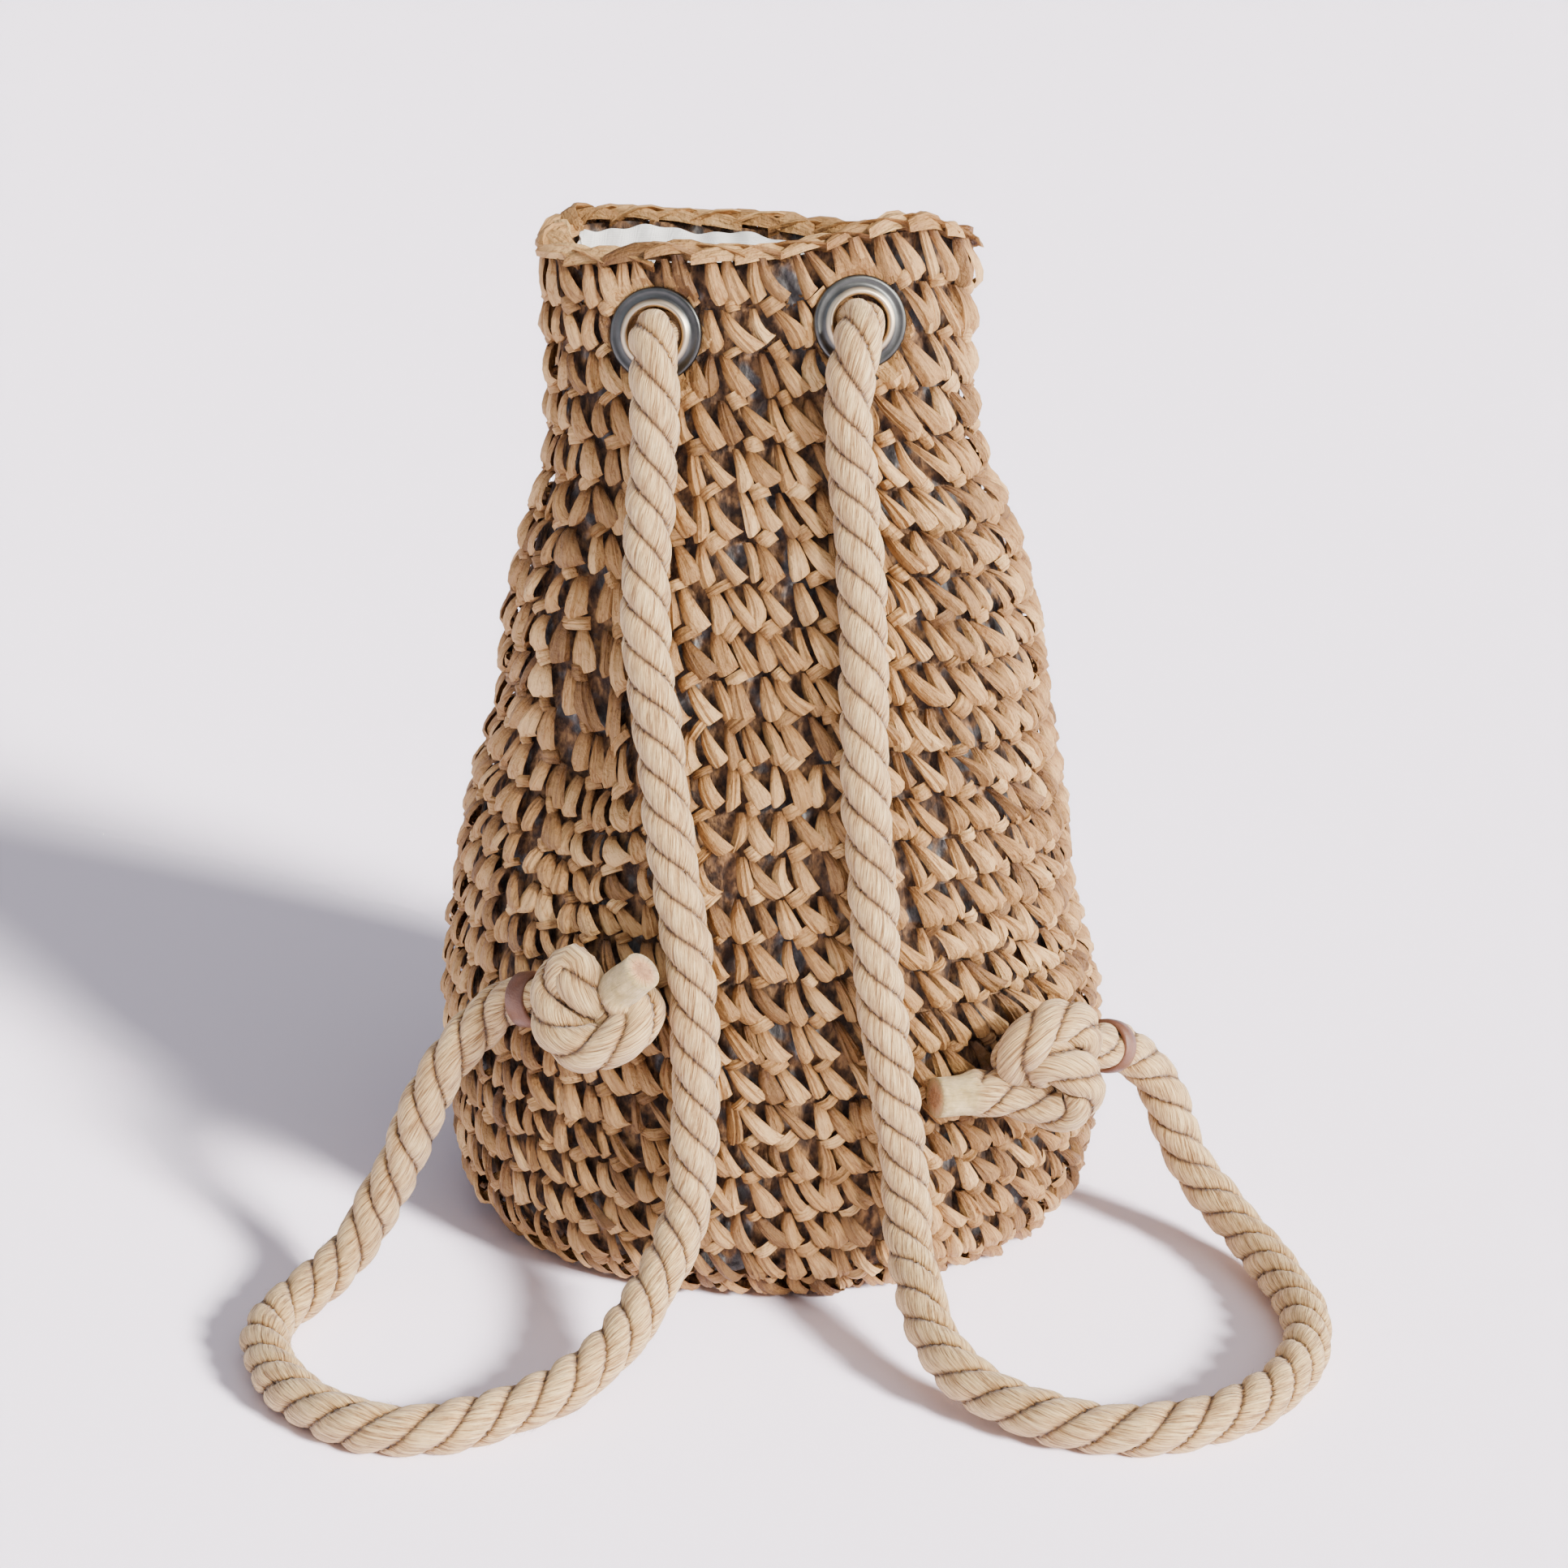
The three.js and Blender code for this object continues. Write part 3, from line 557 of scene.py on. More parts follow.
def give(mesh, name, values):
    """Stores one number, or three, for each point of a mesh."""
    values = np.asarray(values, np.float32)
    kind = "FLOAT" if values.ndim == 1 else "FLOAT_VECTOR"
    attribute = mesh.attributes.new(name, kind, "POINT")
    attribute.data.foreach_set("value" if kind == "FLOAT" else "vector", values.ravel())


def points_of(mesh):
    places = np.empty(len(mesh.vertices) * 3)
    mesh.vertices.foreach_get("co", places)
    return places.reshape(-1, 3)


def lay_flat(mesh, name, flat, corners):
    """Stores where each point lies on the flat straw or cloth, for the pattern."""
    uv = mesh.uv_layers.new(name=name)
    uv.data.foreach_set("uv", flat.reshape(-1, 2)[corners].astype(np.float32).ravel())


def above_floor(places):
    places[..., 2] = np.maximum(places[..., 2], floor_clearance)
    return places


def small_shape(bm):
    """A small closed shape that is laid many times: its points, and where its faces start and turn."""
    mesh = bpy.data.meshes.new("small_shape")
    bm.to_mesh(mesh)
    bm.free()
    points = points_of(mesh)
    faces = [p.loop_start for p in mesh.polygons], [l.vertex_index for l in mesh.loops]
    bpy.data.meshes.remove(mesh)
    return points, [np.array(part) for part in faces]


def laid_many_times(name, places, faces):
    """One mesh of a small shape: places holds the points of each time that it is laid."""
    count, points = places.shape[:2]
    starts, corners = faces
    time = np.arange(count)[:, None]
    all_corners = (corners[None] + time * points).ravel()
    mesh = bpy.data.meshes.new(name)
    mesh.vertices.add(count * points)
    mesh.vertices.foreach_set("co", places.ravel())
    mesh.loops.add(len(all_corners))
    mesh.loops.foreach_set("vertex_index", all_corners)
    mesh.polygons.add(count * len(starts))
    mesh.polygons.foreach_set("loop_start", (starts[None] + time * len(corners)).ravel())
    mesh.update(calc_edges=True)
    return mesh, all_corners


def there_and_back(v):
    """A sheet's run goes up the outside for half its length and down the inside for the rest."""
    outside = v <= 0.5
    return outside, np.where(outside, v * 2, (1 - v) * 2)


def wrapped_sheet(name, columns, rows, place, closed_ends=True, own=None):
    """A grid laid round as a tube: place(u, v) gives points, and own(u, v) their own values, for shares round
    and along."""
    bm = bmesh.new()
    bmesh.ops.create_grid(bm, x_segments=columns, y_segments=rows, size=0.5)
    mesh = bpy.data.meshes.new(name)
    bm.to_mesh(mesh)
    bm.free()
    u, v = points_of(mesh)[:, :2].T + 0.5
    mesh.vertices.foreach_set("co", place(u, v).ravel())
    for key, values in (own(u, v) if own else {}).items():
        give(mesh, key, values)
    bm = bmesh.new()
    bm.from_mesh(mesh)
    bmesh.ops.remove_doubles(bm, verts=bm.verts, dist=1e-6)
    if closed_ends:
        bmesh.ops.holes_fill(bm, edges=[e for e in bm.edges if e.is_boundary], sides=0)
    bmesh.ops.recalc_face_normals(bm, faces=bm.faces)
    bm.to_mesh(mesh)
    bm.free()
    return mesh


def turned_piece(name, profile, origin, axis, segments=72):
    """A closed profile of (radius, height) spun about an axis."""
    bm = bmesh.new()
    ring = [bm.verts.new((r, 0, h)) for r, h in profile]
    edges = [bm.edges.new((ring[i], ring[(i + 1) % len(ring)])) for i in range(len(ring))]
    bmesh.ops.spin(bm, geom=ring + edges, cent=(0, 0, 0), axis=(0, 0, 1), angle=2 * math.pi,
                   steps=segments, use_merge=True, use_duplicate=False)
    bmesh.ops.remove_doubles(bm, verts=bm.verts, dist=1e-6)
    bmesh.ops.recalc_face_normals(bm, faces=bm.faces)
    turn = Vector(axis).to_track_quat("Z", "Y").to_matrix().to_4x4()
    bmesh.ops.transform(bm, matrix=Matrix.Translation(Vector(origin)) @ turn, verts=bm.verts)
    mesh = bpy.data.meshes.new(name)
    bm.to_mesh(mesh)
    bm.free()
    return mesh


# Rope: one length, from the end of the left knot through both eyelets to the end of the right knot

def smooth_path(points, step):
    """Points at an even step on a smooth curve through the given ones."""
    points = np.asarray(points, float)
    padded = np.vstack([2 * points[0] - points[1], points, 2 * points[-1] - points[-2]])
    fine = []
    for i in range(1, len(padded) - 2):
        p = padded[i - 1:i + 3]
        t = np.concatenate([[0], np.cumsum(np.sqrt(np.linalg.norm(np.diff(p, axis=0), axis=1)))])
        x = np.linspace(t[1], t[2], 24, endpoint=False)[:, None]
        a = [((t[j + 1] - x) * p[j] + (x - t[j]) * p[j + 1]) / (t[j + 1] - t[j]) for j in range(3)]
        b = [((t[j + 2] - x) * a[j] + (x - t[j]) * a[j + 1]) / (t[j + 2] - t[j]) for j in range(2)]
        fine.append(((t[2] - x) * b[0] + (x - t[1]) * b[1]) / (t[2] - t[1]))
    fine = np.vstack([*fine, padded[-2][None]])
    run = np.concatenate([[0], np.cumsum(np.linalg.norm(np.diff(fine, axis=0), axis=1))])
    even = np.linspace(0, run[-1], max(int(round(run[-1] / step)), 2) + 1)
    return np.stack([np.interp(even, run, fine[:, i]) for i in range(3)], -1), even


def loop_seat(side):
    around, rounds, standoff, slope = leather_loops[side]
    origin, right, up, out = wall.seat(around, rounds + crest_share)
    turn = math.radians(slope)
    return origin + out * standoff, right * math.cos(turn) + up * math.sin(turn), out


def knot_way(side):
    around, rounds, standoff, way = knots[side]
    origin, right, up, out = wall.seat(around, rounds + crest_share)
    middle = origin + out * standoff * rope_diameter
    return [middle + (right * x + up * y + out * z) * rope_diameter for x, y, z in way]


def half_rope(side, route):
    """From inside the bag through the eyelet, down the strap and through the loop to the knot's end."""
    origin, _, _, out = wall.seat(*eyelets[side])
    centre, axis, _ = loop_seat(side)
    return [
        origin + out * (eyelet_back - rope_radius / 2),
        origin + out * (flange_front + eyelet_back) / 2,
        origin + out * flange_front,
        *[np.array(p) for p in route],
        centre - axis * leather_width,
        centre + axis * (rope_join + gap + rope_radius / 2),
        *knot_way(side),
    ]


left_half, right_half = half_rope("left", rope_left_route), half_rope("right", rope_right_route)
rope_path, rope_run = smooth_path(
    left_half[::-1] + [np.array(p) for p in rope_middle_route] + right_half, rope_ring_step)

rope_tangent = unit(np.gradient(rope_path, axis=0))
rope_side = np.empty_like(rope_path)
carried = unit(np.cross(rope_tangent[0], (0.0, 0.0, 1.0)))
for i, tangent in enumerate(rope_tangent):
    carried = unit(carried - tangent * (carried @ tangent))
    rope_side[i] = carried
rope_lift = np.cross(rope_tangent, rope_side)


def out_of_rope(ring, theta):
    """The way out of the rope's middle at an angle round one of its rings."""
    return np.cos(theta)[:, None] * rope_side[ring] + np.sin(theta)[:, None] * rope_lift[ring]


def nearness_to_groove(theta, run):
    """0 on the crown of a strand, 1 in the groove between two."""
    strand = (theta + 2 * math.pi * run / rope_lay) / (2 * math.pi / rope_strands)
    return np.abs(strand - np.floor(strand) - 0.5) * 2


def with_fuzz(mesh, first, last):
    """Adds short loose fibres, each a closed sliver, to a stretch of rope."""
    bm = bmesh.new()
    bmesh.ops.create_cone(bm, cap_ends=True, segments=3, radius1=1, radius2=0, depth=1)
    sliver, faces = small_shape(bm)
    ring = chance.integers(first + 1, last, (last - first) * fibres_per_ring)
    theta = chance.random(len(ring)) * 2 * math.pi
    run = rope_run[ring]
    bare = np.minimum(run - tape_lengths["left"], rope_run[-1] - run - tape_lengths["right"]) > 0
    ring, theta, run = ring[bare], theta[bare], run[bare]
    count = len(ring)
    away = out_of_rope(ring, theta)
    depth = 0.985 - groove_depth * nearness_to_groove(theta, run) ** groove_sharpness
    root = rope_path[ring] + away * (rope_radius * depth)[:, None]
    to_or_fro = np.where(chance.random(count) < 0.5, -1, 1)[:, None]
    way = unit(rope_tangent[ring] * to_or_fro + away * 0.34 + 0.22 * chance.standard_normal((count, 3)))
    length = 0.0010 + 0.0022 * chance.random(count)
    aside = unit(np.cross(way, away))
    over = np.cross(aside, way)
    places = above_floor(root[:, None] + aside[:, None] * sliver[None, :, :1] * fibre_thickness
                         + over[:, None] * sliver[None, :, 1:2] * fibre_thickness
                         + way[:, None] * (sliver[None, :, 2:] + 0.5) * length[:, None, None])
    fuzz, _ = laid_many_times("fuzz", places, faces)
    points = count * len(sliver)
    give(fuzz, "tape", np.zeros(points))
    give(fuzz, "cut", np.zeros(points))
    give(fuzz, "lay", places.reshape(-1, 3))
    give(fuzz, "strand", np.tile((1.0, 0.0, 0.0), (points, 1)))
    bm = bmesh.new()
    bm.from_mesh(mesh)
    bm.from_mesh(fuzz)
    bm.to_mesh(mesh)
    bm.free()
    bpy.data.meshes.remove(fuzz)
    return mesh


def rope_piece(name, first, last, node):
    """The stretch of the rope between two of its rings, in place of a CAD node."""
    count = last - first
    end_ring = len(rope_path) - 1

    def turn_and_ring(u, v):
        ring = np.clip(np.round(v * count).astype(int) + first, first, last)
        run = rope_run[ring]
        tape = np.maximum(
            1 - blend(tape_lengths["left"] * 0.7, tape_lengths["left"], run),
            1 - blend(tape_lengths["right"] * 0.7, tape_lengths["right"], rope_run[-1] - run))
        cut = (ring == 0) | (ring == end_ring)
        return ring, run, u * 2 * math.pi, tape, cut

    def place(u, v):
        ring, run, theta, tape, cut = turn_and_ring(u, v)
        swell = 1 + 0.03 * np.sin(run * 190) + 0.02 * np.sin(run * 470 + 1)
        groove = groove_depth * nearness_to_groove(theta, run) ** groove_sharpness
        plain = rope_radius * swell * (1 - groove)
        end = np.minimum(run, rope_run[-1] - run)
        taped = rope_radius * (0.80 + 0.10 * blend(0, 0.02, end)) * (1 + 0.03 * np.sin(theta * 2 + run * 300))
        radius = ((plain * (1 - tape) + taped * tape) * np.where(cut, 0.45, 1))[:, None]
        ring = np.clip(ring, 1, end_ring - 1)
        return above_floor(rope_path[ring] + radius * out_of_rope(ring, theta))

    def own(u, v):
        ring, run, theta, tape, cut = turn_and_ring(u, v)
        fibre = theta - 0.12 * 2 * math.pi * run / rope_lay
        lay = np.stack([rope_radius * np.cos(fibre), rope_radius * np.sin(fibre), run], -1)
        turned = theta + 2 * math.pi * run / rope_lay
        strand = np.stack([np.cos(turned), np.sin(turned), run], -1)
        return {"tape": tape, "lay": lay, "strand": strand, "cut": cut.astype(float)}

    mesh = with_fuzz(wrapped_sheet(name, rope_sides, count, place, own=own), first, last)
    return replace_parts(show(mesh, cotton), node)


def nearest_ring(point):
    return int(np.argmin(np.linalg.norm(rope_path - point, axis=1)))


cotton = rope_finish()
left_loop, left_eyelet, right_eyelet, right_loop = (
    nearest_ring(place) for place in (loop_seat("left")[0], left_half[1], right_half[1], loop_seat("right")[0]))
knot_left = rope_piece("knot_left_tied", 0, left_loop, "knot_left")
strap_left = rope_piece("strap_left_rope", left_loop, left_eyelet, "strap_rope_left")
strap_middle = rope_piece("drawcord_middle_rope", left_eyelet, right_eyelet, "strap_rope_middle")
strap_right = rope_piece("strap_right_rope", right_eyelet, right_loop, "strap_rope_right")
knot_right = rope_piece("knot_right_tied", right_loop, len(rope_path) - 1, "knot_right")


def declare_rope(exit_ring, far_ring):
    first, last = sorted((exit_ring, far_ring))
    path = rope_path[first:last + 1:3]
    path = np.vstack([path, rope_path[last]])
    if exit_ring > far_ring:
        path = path[::-1]


declare_rope(left_eyelet, left_loop)
declare_rope(right_eyelet, right_loop)
declare_rope(left_eyelet, right_eyelet)


# Straw leaves

# Share across a leaf for each side of its tube: one edge, the back, the other edge, then the front
leaf_across = np.array([1, .6, 0, -.6, -1, -.75, -.5, -.25, 0, .25, .5, .75])
leaf_is_back = np.array([0, 1, 1, 1, 0, 0, 0, 0, 0, 0, 0, 0])
leaf_up = np.array([-0.05, 0.0, 0.14, 0.36, 0.60, 0.82, 1.0])
leaf_swell = np.array([-0.20, 0.62, 1.0, 1.08, 0.92, 0.60, 0.05])
# Half of a stitch: sideways place of its top and bottom, half width there, lift, flare of the low corner
leaf_shapes = (
    (-0.42, -0.22, 0.100, 0.190, 0.92, 0.05),
    (-0.10, 0.40, 0.100, 0.220, 1.12, 0.06),
)


def leaf_template():
    """A closed tube of 12 sides and 7 rings: the side and ring of each of its points, and its faces."""
    bm = bmesh.new()
    bmesh.ops.create_cone(bm, cap_ends=True, segments=len(leaf_across), radius1=1, radius2=1, depth=1)
    uprights = [e for e in bm.edges if abs(e.verts[0].co.z - e.verts[1].co.z) > 0.5]
    bmesh.ops.subdivide_edges(bm, edges=uprights, cuts=len(leaf_up) - 2)
    points, faces = small_shape(bm)
    turn = np.arctan2(points[:, 1], points[:, 0]) / (2 * math.pi)
    side = np.round(turn * len(leaf_across)).astype(int) % len(leaf_across)
    ring = np.round((points[:, 2] + 0.5) * (len(leaf_up) - 1)).astype(int)
    return side, ring, faces


leaf_side, leaf_ring, leaf_faces = leaf_template()
# For each point of a leaf, in a row that broadcasts over many leaves
across, is_back, up_leaf = leaf_across[leaf_side][None], leaf_is_back[leaf_side][None], leaf_up[leaf_ring][None]
share_up = np.clip(up_leaf, 0, 1)
straw = straw_finish()


def joined_leaves(name, made, middle_shade):
    """Many leaves as one piece: made lists their places, the painted shade where they slip under others, and
    the metres across and along them.
    """
    places, tuck_shade, across_m, along_m = (np.concatenate(values) for values in zip(*made))
    count, points = places.shape[:2]
    offset = chance.random((count, 2))
    shade = np.clip(middle_shade + 0.2 * chance.standard_normal(count), 0, 1)
    mesh, corners = laid_many_times(name, above_floor(places), leaf_faces)
    mesh.validate()
    mesh.set_sharp_from_angle(angle=math.radians(38))
    give(mesh, "shade", np.broadcast_to(shade[:, None], (count, points)).ravel())
    give(mesh, "tuck_shade", tuck_shade.ravel())
    lay_flat(mesh, "leaf", np.stack([across_m + offset[:, :1], along_m + offset[:, 1:]], -1), corners)
    return show(mesh, straw)


def spread(count, middle, share):
    """Values that vary from leaf to leaf by a share of their middle."""
    return middle * (1 + share * chance.standard_normal((count, 1)).clip(-2, 2))


def pressed_by_eyelets(places):
    """Straw and cloth lie flat under each flange and stop at its barrel."""
    for side in eyelets:
        origin, _, _, out = wall.seat(*eyelets[side])
        away = places - origin
        high = away @ out
        flat = away - high[..., None] * out
        radius = np.linalg.norm(flat, axis=-1)
        near = (radius < flange_radius + press_width) & (np.abs(high) < press_reach)
        slope = blend(flange_radius - gap, flange_radius + press_width, radius)
        high = np.where(near, np.minimum(high, flange_seat - gap + press_width * slope), high)
        clear = barrel_radius + 0.0004
        wider = np.where(near & (radius < clear), clear / np.maximum(radius, 1e-6), 1)
        places = np.where(near[..., None], origin + flat * wider[..., None] + high[..., None] * out, places)
    return places


def any_way(count, amount):
    """Values on both sides of zero, one for each leaf."""
    return amount * chance.standard_normal((count, 1))


def ridges(count, height):
    """Lengthwise ridges, one value for each side of each leaf."""
    return height * chance.standard_normal((count, len(leaf_across)))[:, leaf_side]


def round_leaves(rounds, stitches, lift, sink, inside=False):
    """Leaves of one round, two for each stitch, with a chain bit between stitches."""
    girth = wall.girth_at(rounds + 0.5)
    n = stitches
    start = (np.arange(n) - 0.11 * rounds + 0.05 * chance.standard_normal(n))[:, None] / stitches
    turn = nearest_turn(start)
    slant = 1 + 0.45 * bell((turn - 0.19) / 0.12)
    lean = 0.75 * bell((turn + 0.20) / 0.07) * bell((rounds - 14) / 7)
    full = 1 + 0.38 * bell((turn + 0.155) / 0.085) * bell((rounds - 14) / 8)
    if rounds >= 0:
        tall = round_run(rounds + 1) - round_run(rounds)
    else:
        tall = wall.girth_at(0) / (2 * math.pi) / base_rounds
    wide = girth / stitches
    last_round = rounds == round_count - 1
    leaf_low = -0.12 if rounds < 1 else 0.04
    leaf_high = 1.05 if rounds < 1 or last_round else 0.97
    low_tip = up_leaf < 0
    t = share_up
    made = []

    def laid(x, y, z, tuck_shade, across_m, along_m):
        if inside:
            x, z = -x, -0.6 * z - wall_thickness + 0.0022
        places = pressed_by_eyelets(wall.at(start + x / girth, rounds + y, z))
        made.append([places] + [np.broadcast_to(v, x.shape) for v in (tuck_shade, across_m, along_m)])

    for top, bottom, half_top, half_bottom, high, flare in leaf_shapes:
        x_top = wide * (top + any_way(n, 0.05))
        x_bottom = wide * (top + (bottom - top) * slant * spread(n, 1, 0.22) - lean + any_way(n, 0.05))
        half_t, half_b = spread(n, half_top * wide, 0.2) * full, spread(n, half_bottom * wide, 0.16) * full
        half = half_t + (half_b - half_t) * np.sin(math.pi / 2 * np.clip((1 - t) / 0.80, 0, 1))
        half = half * (1 - 0.20 * np.clip(1 - t / 0.16, 0, 1))
        x = x_bottom + (x_top - x_bottom) * t + across * half
        x = x + spread(n, wide * flare, 0.6) * np.maximum(across, 0) ** 2 * np.clip(1 - t / 0.3, 0, 1) ** 2
        x = x + any_way(n, wide * 0.05) * np.sin(math.pi * t)
        y_low, y_high = leaf_low + any_way(n, 0.045), spread(n, leaf_high, 0.03)
        y = y_low + (y_high - y_low) * t
        y = y + (0.09 * across + 0.07 * across ** 2) * (1 - t) ** 2 + low_tip * 0.05
        ribs = ridges(n, 0.00026)
        fine = 0.00009 * chance.standard_normal((n, len(leaf_side)))
        crease = spread(n, 0.0007, 0.6) * bell((across - any_way(n, 0.5)) / 0.2)
        crumple = (ribs + fine - crease * (1 - is_back)) * (0.4 + 0.6 * (1 - t))
        swell = np.maximum(leaf_swell[leaf_ring], 0.55 * last_round * (up_leaf > 0.5))
        z = spread(n, lift * high, 0.16) * swell + spread(n, 0.0007, 0.9) * across * (0.4 + 0.6 * (1 - t))
        z = z + 0.0016 * (1 - across ** 2) + crumple - is_back * 0.0011 - sink
        edge = np.clip(np.abs(across) * 4 - 3, 0, 1)
        # Painted shade: darker towards the top, which lies under the round above, on the back, at the low tip
        # and along the edges
        tuck_shade = np.clip((t - 0.52) / 0.48, 0, 1) * 0.9 + is_back * 0.5 + low_tip * 0.6 + edge * 0.30
        laid(x, y, z, tuck_shade, across * half, t * tall)
    bit_turn = np.radians(-60 + any_way(n, 10))
    p = across * spread(n, 0.0021, 0.2)
    q = (t - 0.5) * spread(n, 0.46 * wide, 0.2)
    x = wide * (0.08 + any_way(n, 0.05)) + p * np.cos(bit_turn) - q * np.sin(bit_turn)
    y = leaf_low - 0.02 + any_way(n, 0.03) + (p * np.sin(bit_turn) + q * np.cos(bit_turn)) / tall
    arch = np.sin(math.pi * t)
    z = lift * (0.42 + 0.72 * arch) + 0.0008 * (1 - across ** 2) - is_back * 0.0009 - sink
    z = z + ridges(n, 0.00022)
    # Painted shade for the chain bit: darker at both ends and on its back
    laid(x, y, z, 0.45 - 0.45 * arch + is_back * 0.4, p, q)
    return made


def crochet(name, rounds, lift=0.0029, inside=False):
    """A band of rounds as one piece."""
    made = []
    for k in rounds:
        stitch = stitch_width - stitch_narrowing * max(k, 0) / round_count
        stitches = max(int(round(wall.girth_at(k + 0.5) / stitch)), 6)
        sink = 0.0018 + 0.0026 * float(1 - blend(-0.2, 1.6, k))
        made += round_leaves(k, stitches, lift, sink, inside)
    return joined_leaves(name, made, middle_shade=0.5)


foot_rounds = crochet("straw_rounds_foot", range(0, 6))
crochet("straw_rounds_belly", range(6, 12))
crochet("straw_rounds_waist", range(12, 19))
crochet("straw_rounds_neck", range(19, round_count))
crochet("straw_rounds_inside_mouth", range(round_count - 2, round_count), lift=0.0012, inside=True)
crochet("straw_base_rounds", range(-base_rounds, 0), lift=0.0022)
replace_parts(foot_rounds, "straw_body")


def stitch_backs():
    """The straw that shows in the gaps and carries the leaves, painted dark as straw and lining in shade: a
    thin wall, folded over at the top.
    """
    low, high = -base_rounds, round_count + 0.12

    def place(u, v):
        outside, share = there_and_back(v)
        away = np.where(outside, stitch_backs_outside, stitch_backs_inside)
        return pressed_by_eyelets(wall.at(u - 0.5, low + (high - low) * share, -away))

    mesh = wrapped_sheet("straw_stitch_backs", columns=180, rows=193, place=place, closed_ends=False)
    return show(mesh, deep_straw_finish())


stitch_backs()


# Rim: a chain of straw leaves on the mouth's edge

def rim_chain():
    n = chain_links
    girth = wall.girth_at(round_count)
    t = share_up
    upright = np.array([0, 0, 1.0])
    made = []
    # Tilt, how far in from the edge each leaf starts and ends, and its rise at its ends and middle
    strands = ((1, -0.0014, 0.0072, -0.0008, 0.0030), (-1, 0.0076, -0.0008, -0.0004, 0.0026))
    for strand, (tilt, from_in, to_in, low, high) in enumerate(strands):
        start = (np.arange(n)[:, None] + 0.5 * strand + any_way(n, 0.05)) / n
        run = (t - 0.3) * spread(n, 1.65, 0.08) * (girth / n)
        half = spread(n, 0.0036, 0.12) * (0.66 + 0.5 * np.sin(math.pi * t ** 0.8))
        inward = from_in + (to_in - from_in) * t + any_way(n, 0.0006)
        rise = low + (high - low) * np.sin(math.pi * (0.15 + 0.8 * t)) + any_way(n, 0.0007)
        bulge = 0.0016 * (1 - across ** 2) - is_back * 0.0015 + ridges(n, 0.00028)
        # Across the leaf runs down the outside or down the inside of the edge
        drop = across * half
        around = start + run / girth
        out = unit(wall.look(wall.out, around, np.full_like(around, round_count)) * np.array([1, 1, 0.0]))
        lean = out * (0.55 * tilt) + upright * 0.83
        down = out * (0.83 * tilt) - upright * 0.55
        places = wall.at(around, round_count) - out * inward[..., None] + upright * rise[..., None]
        places = places + lean * bulge[..., None] + down * (drop * tilt)[..., None]
        # Painted shade: the rim leaves darken at both ends, where they pass under their neighbours, and on
        # their backs
        tuck_shade = np.abs(t - 0.5) * 0.9 + is_back * 0.4
        made.append((places, np.broadcast_to(tuck_shade, run.shape), drop, run))
    return joined_leaves("rim_chain", made, middle_shade=0.55)


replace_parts(rim_chain(), "rim_braid")


# Eyelets, leather loops and lining

steel = steel_finish()
eyelet_profile = [
    (barrel_radius, eyelet_back), (barrel_radius, flange_seat), (flange_radius - 0.0008, flange_seat),
    (flange_radius - 0.0001, flange_seat + 0.0003), (flange_radius, flange_seat + 0.0008),
    (flange_radius - 0.0003, flange_seat + 0.0013), (flange_radius - 0.0009, flange_seat + 0.0016),
    (flange_radius - 0.0016, flange_seat + 0.0015), (barrel_radius + 0.0024, flange_seat + 0.0013),
    (barrel_radius + 0.0014, flange_seat + 0.0017), (barrel_radius + 0.0006, flange_front - 0.0003),
    (barrel_radius - 0.0002, flange_front), (barrel_radius - 0.0008, flange_front - 0.0003),
    (hole_radius, flange_front - 0.0012), (hole_radius, eyelet_back - eyelet_back_thickness),
    (eyelet_back_radius, eyelet_back - eyelet_back_thickness), (eyelet_back_radius, eyelet_back),
]
for side in eyelets:
    origin, _, _, out = wall.seat(*eyelets[side])
    mesh = turned_piece(f"eyelet_{side}_steel", eyelet_profile, origin, out)
    radius = [(Vector(origin) - v.co).cross(Vector(out)).length for v in mesh.vertices]
    give(mesh, "barrel", [1.0 if r < barrel_radius + 0.0008 else 0.0 for r in radius])
    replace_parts(show(mesh, steel), f"eyelet_{side}")

leather = leather_finish()
ring_inner, ring_outer, half = rope_radius - 0.0007, rope_radius + 0.0011, leather_width / 2
band_profile = [
    (ring_inner, -half + 0.0005), (ring_inner + 0.0004, -half), (ring_outer - 0.0005, -half),
    (ring_outer, -half + 0.0006), (ring_outer + 0.00015, 0), (ring_outer, half - 0.0006),
    (ring_outer - 0.0005, half), (ring_inner + 0.0004, half), (ring_inner, half - 0.0005),
]
for side, (_, _, standoff, _) in leather_loops.items():
    centre, axis, out = loop_seat(side)
    ring = turned_piece(f"leather_loop_{side}_band", band_profile, centre, axis, segments=56)
    # The tongue that goes into the wall
    bm = bmesh.new()
    bm.from_mesh(ring)
    reach = standoff - ring_inner + 0.001
    made = bmesh.ops.create_cube(bm, size=1)["verts"]
    basis = Matrix((np.cross(axis, out), axis, out)).transposed().to_4x4()
    size = Matrix.Diagonal((0.0036, leather_width, reach, 1))
    middle = Vector(centre - out * (ring_inner + reach / 2))
    bmesh.ops.transform(bm, matrix=Matrix.Translation(middle) @ basis @ size, verts=made)
    sharp = list(dict.fromkeys(e for v in made for e in v.link_edges))
    bmesh.ops.bevel(bm, geom=sharp, offset=0.0006, segments=2, profile=0.5, affect="EDGES", material=-1)
    bm.to_mesh(ring)
    bm.free()
    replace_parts(show(ring, leather), f"leather_loop_{side}")


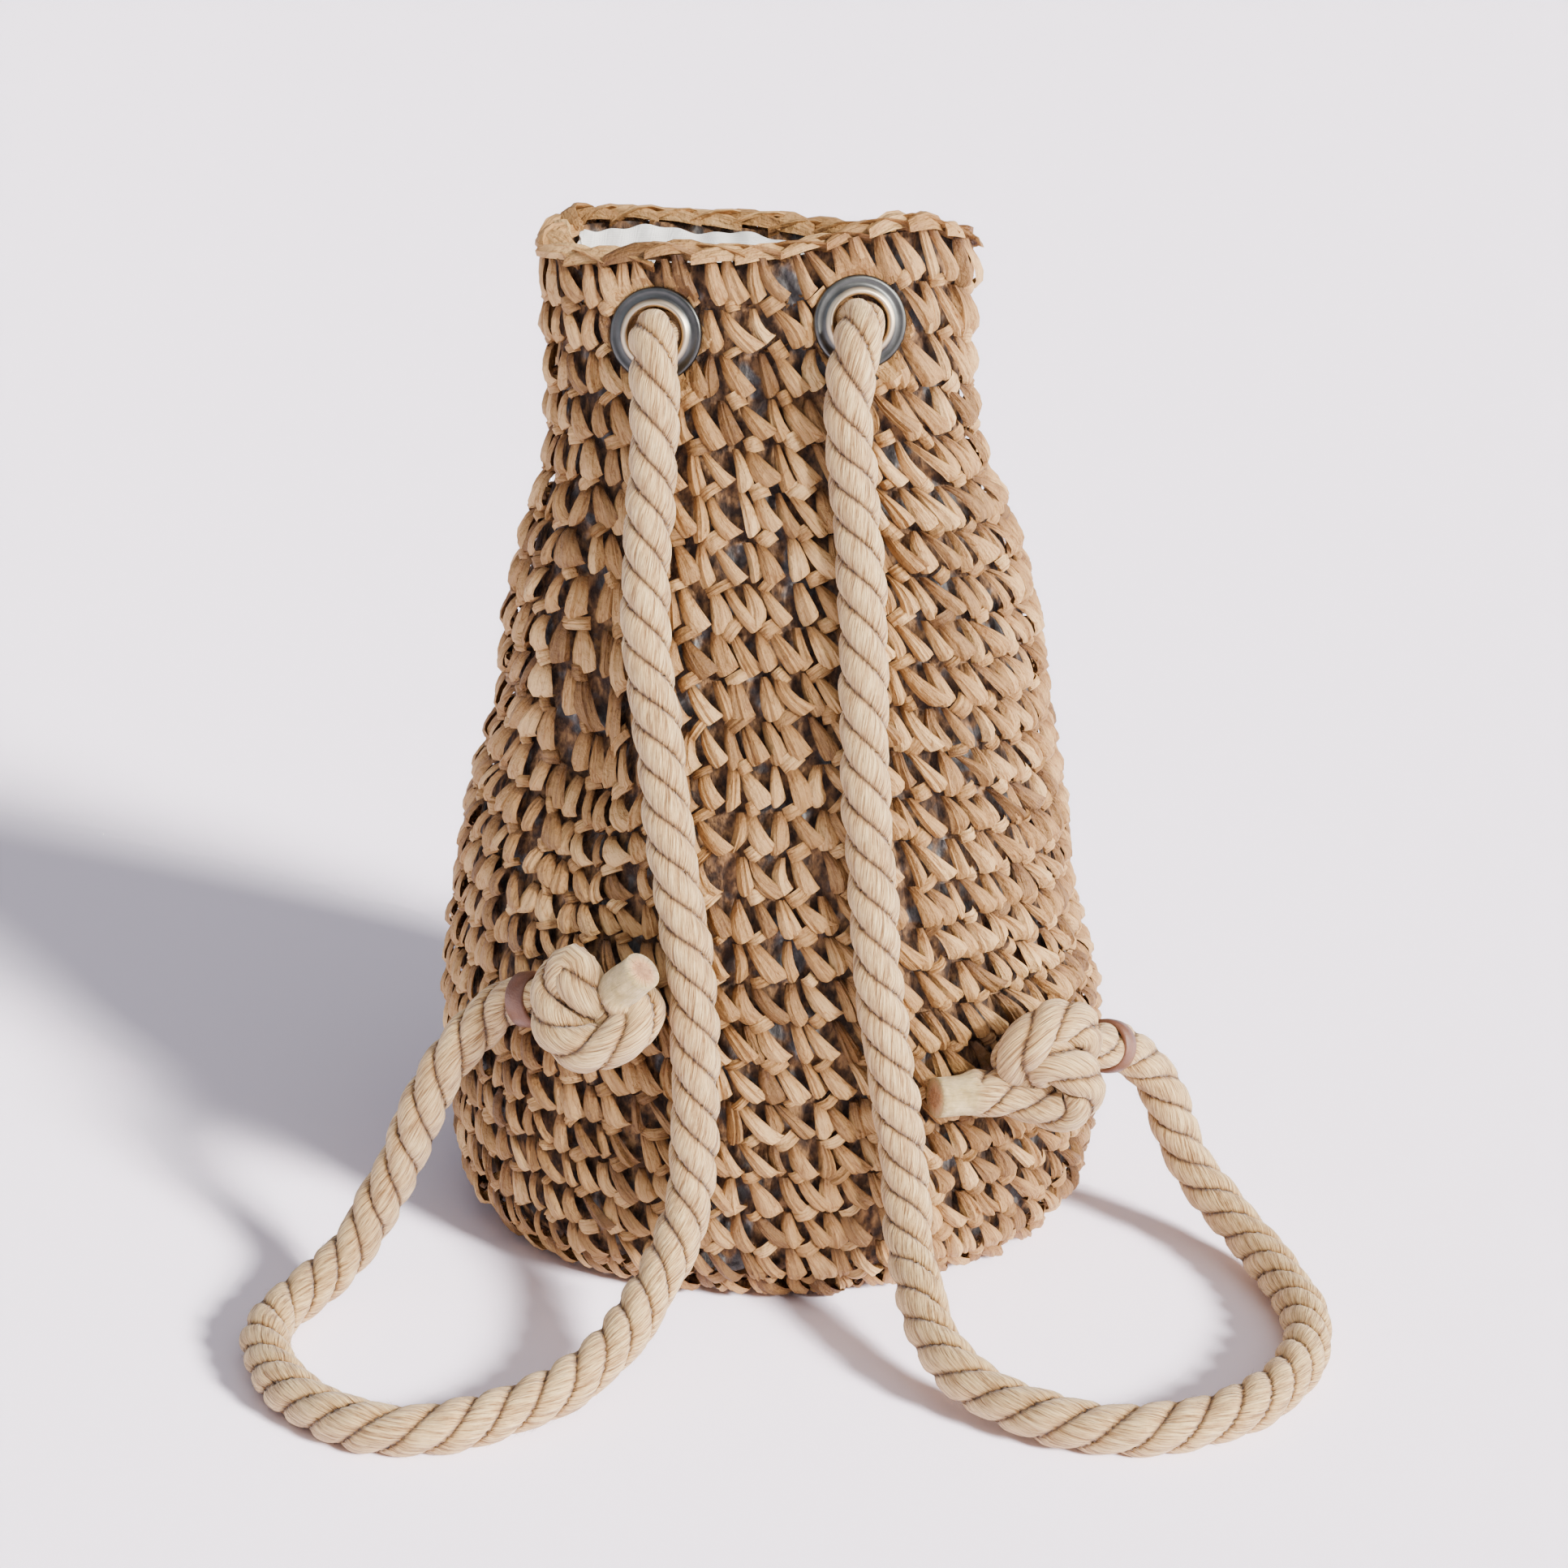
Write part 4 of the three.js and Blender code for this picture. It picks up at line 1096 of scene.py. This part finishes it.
def lining_bag():
    """Thin cloth inside the wall, with a wavy top edge that stands higher at the back."""
    top = round_run(round_count) - lining_below_edge
    rounds_up = np.linspace(0, round_count, 261)
    top_round = float(np.interp(top, round_run(rounds_up), rounds_up))

    def place(u, v):
        outside, share = there_and_back(v)
        wave = 0.05 * np.sin(u * 2 * math.pi * 11 + 0.6) + 0.03 * np.sin(u * 2 * math.pi * 29) + 0.05
        rise = wave + 0.82 * blend(0.26, 0.36, np.abs(nearest_turn(u - 0.5 - 0.04)))
        rounds = -base_rounds + (top_round + base_rounds) * share + rise * blend(0.9, 1, share)
        slack = lining_slack * (1 - blend(0.85, 0.9, rounds / round_count))
        pleat = 0.0006 * np.sin(u * 2 * math.pi * 31) * blend(0.5, 1, share)
        away = wall_thickness + lining_gap + slack + np.where(outside, 0, lining_thickness) + pleat
        return pressed_by_eyelets(wall.at(u - 0.5, rounds, -away))

    mesh = wrapped_sheet("lining_cloth", columns=252, rows=121, place=place, closed_ends=False)
    points = points_of(mesh)
    corners = np.empty(len(mesh.loops), int)
    mesh.loops.foreach_get("vertex_index", corners)
    flat = np.stack([np.arctan2(points[:, 1], points[:, 0]) * 0.08, points[:, 2]], -1)
    lay_flat(mesh, "cloth", flat, corners)
    return show(mesh, lining_finish())


lining = lining_bag()
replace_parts(lining, "lining")


# Floor

bm = bmesh.new()
bmesh.ops.create_grid(bm, x_segments=1, y_segments=1, size=30)
floor_mesh = bpy.data.meshes.new("floor")
bm.to_mesh(floor_mesh)
bm.free()
floor = bpy.data.objects.new("floor", floor_mesh)
bpy.context.scene.collection.objects.link(floor)
floor_mesh.materials.append(floor_finish())

# The floor has a light of its own, and the side lights pass it by, so that the bag's shadow stays clear
lit_floor = bpy.data.collections.new("lit_floor")
lit_floor.objects.link(floor)
floor_light = sun("floor_light", key_way, softness=12, power=19.0, colour=(1.0, 0.97, 0.97))
floor_light.light_linking.receiver_collection = lit_floor
all_but_floor = bpy.data.collections.new("all_but_floor")
all_but_floor.objects.link(floor)
all_but_floor.collection_objects[0].light_linking.link_state = "EXCLUDE"
for lamp in (left_fill, right_light):
    lamp.light_linking.receiver_collection = all_but_floor
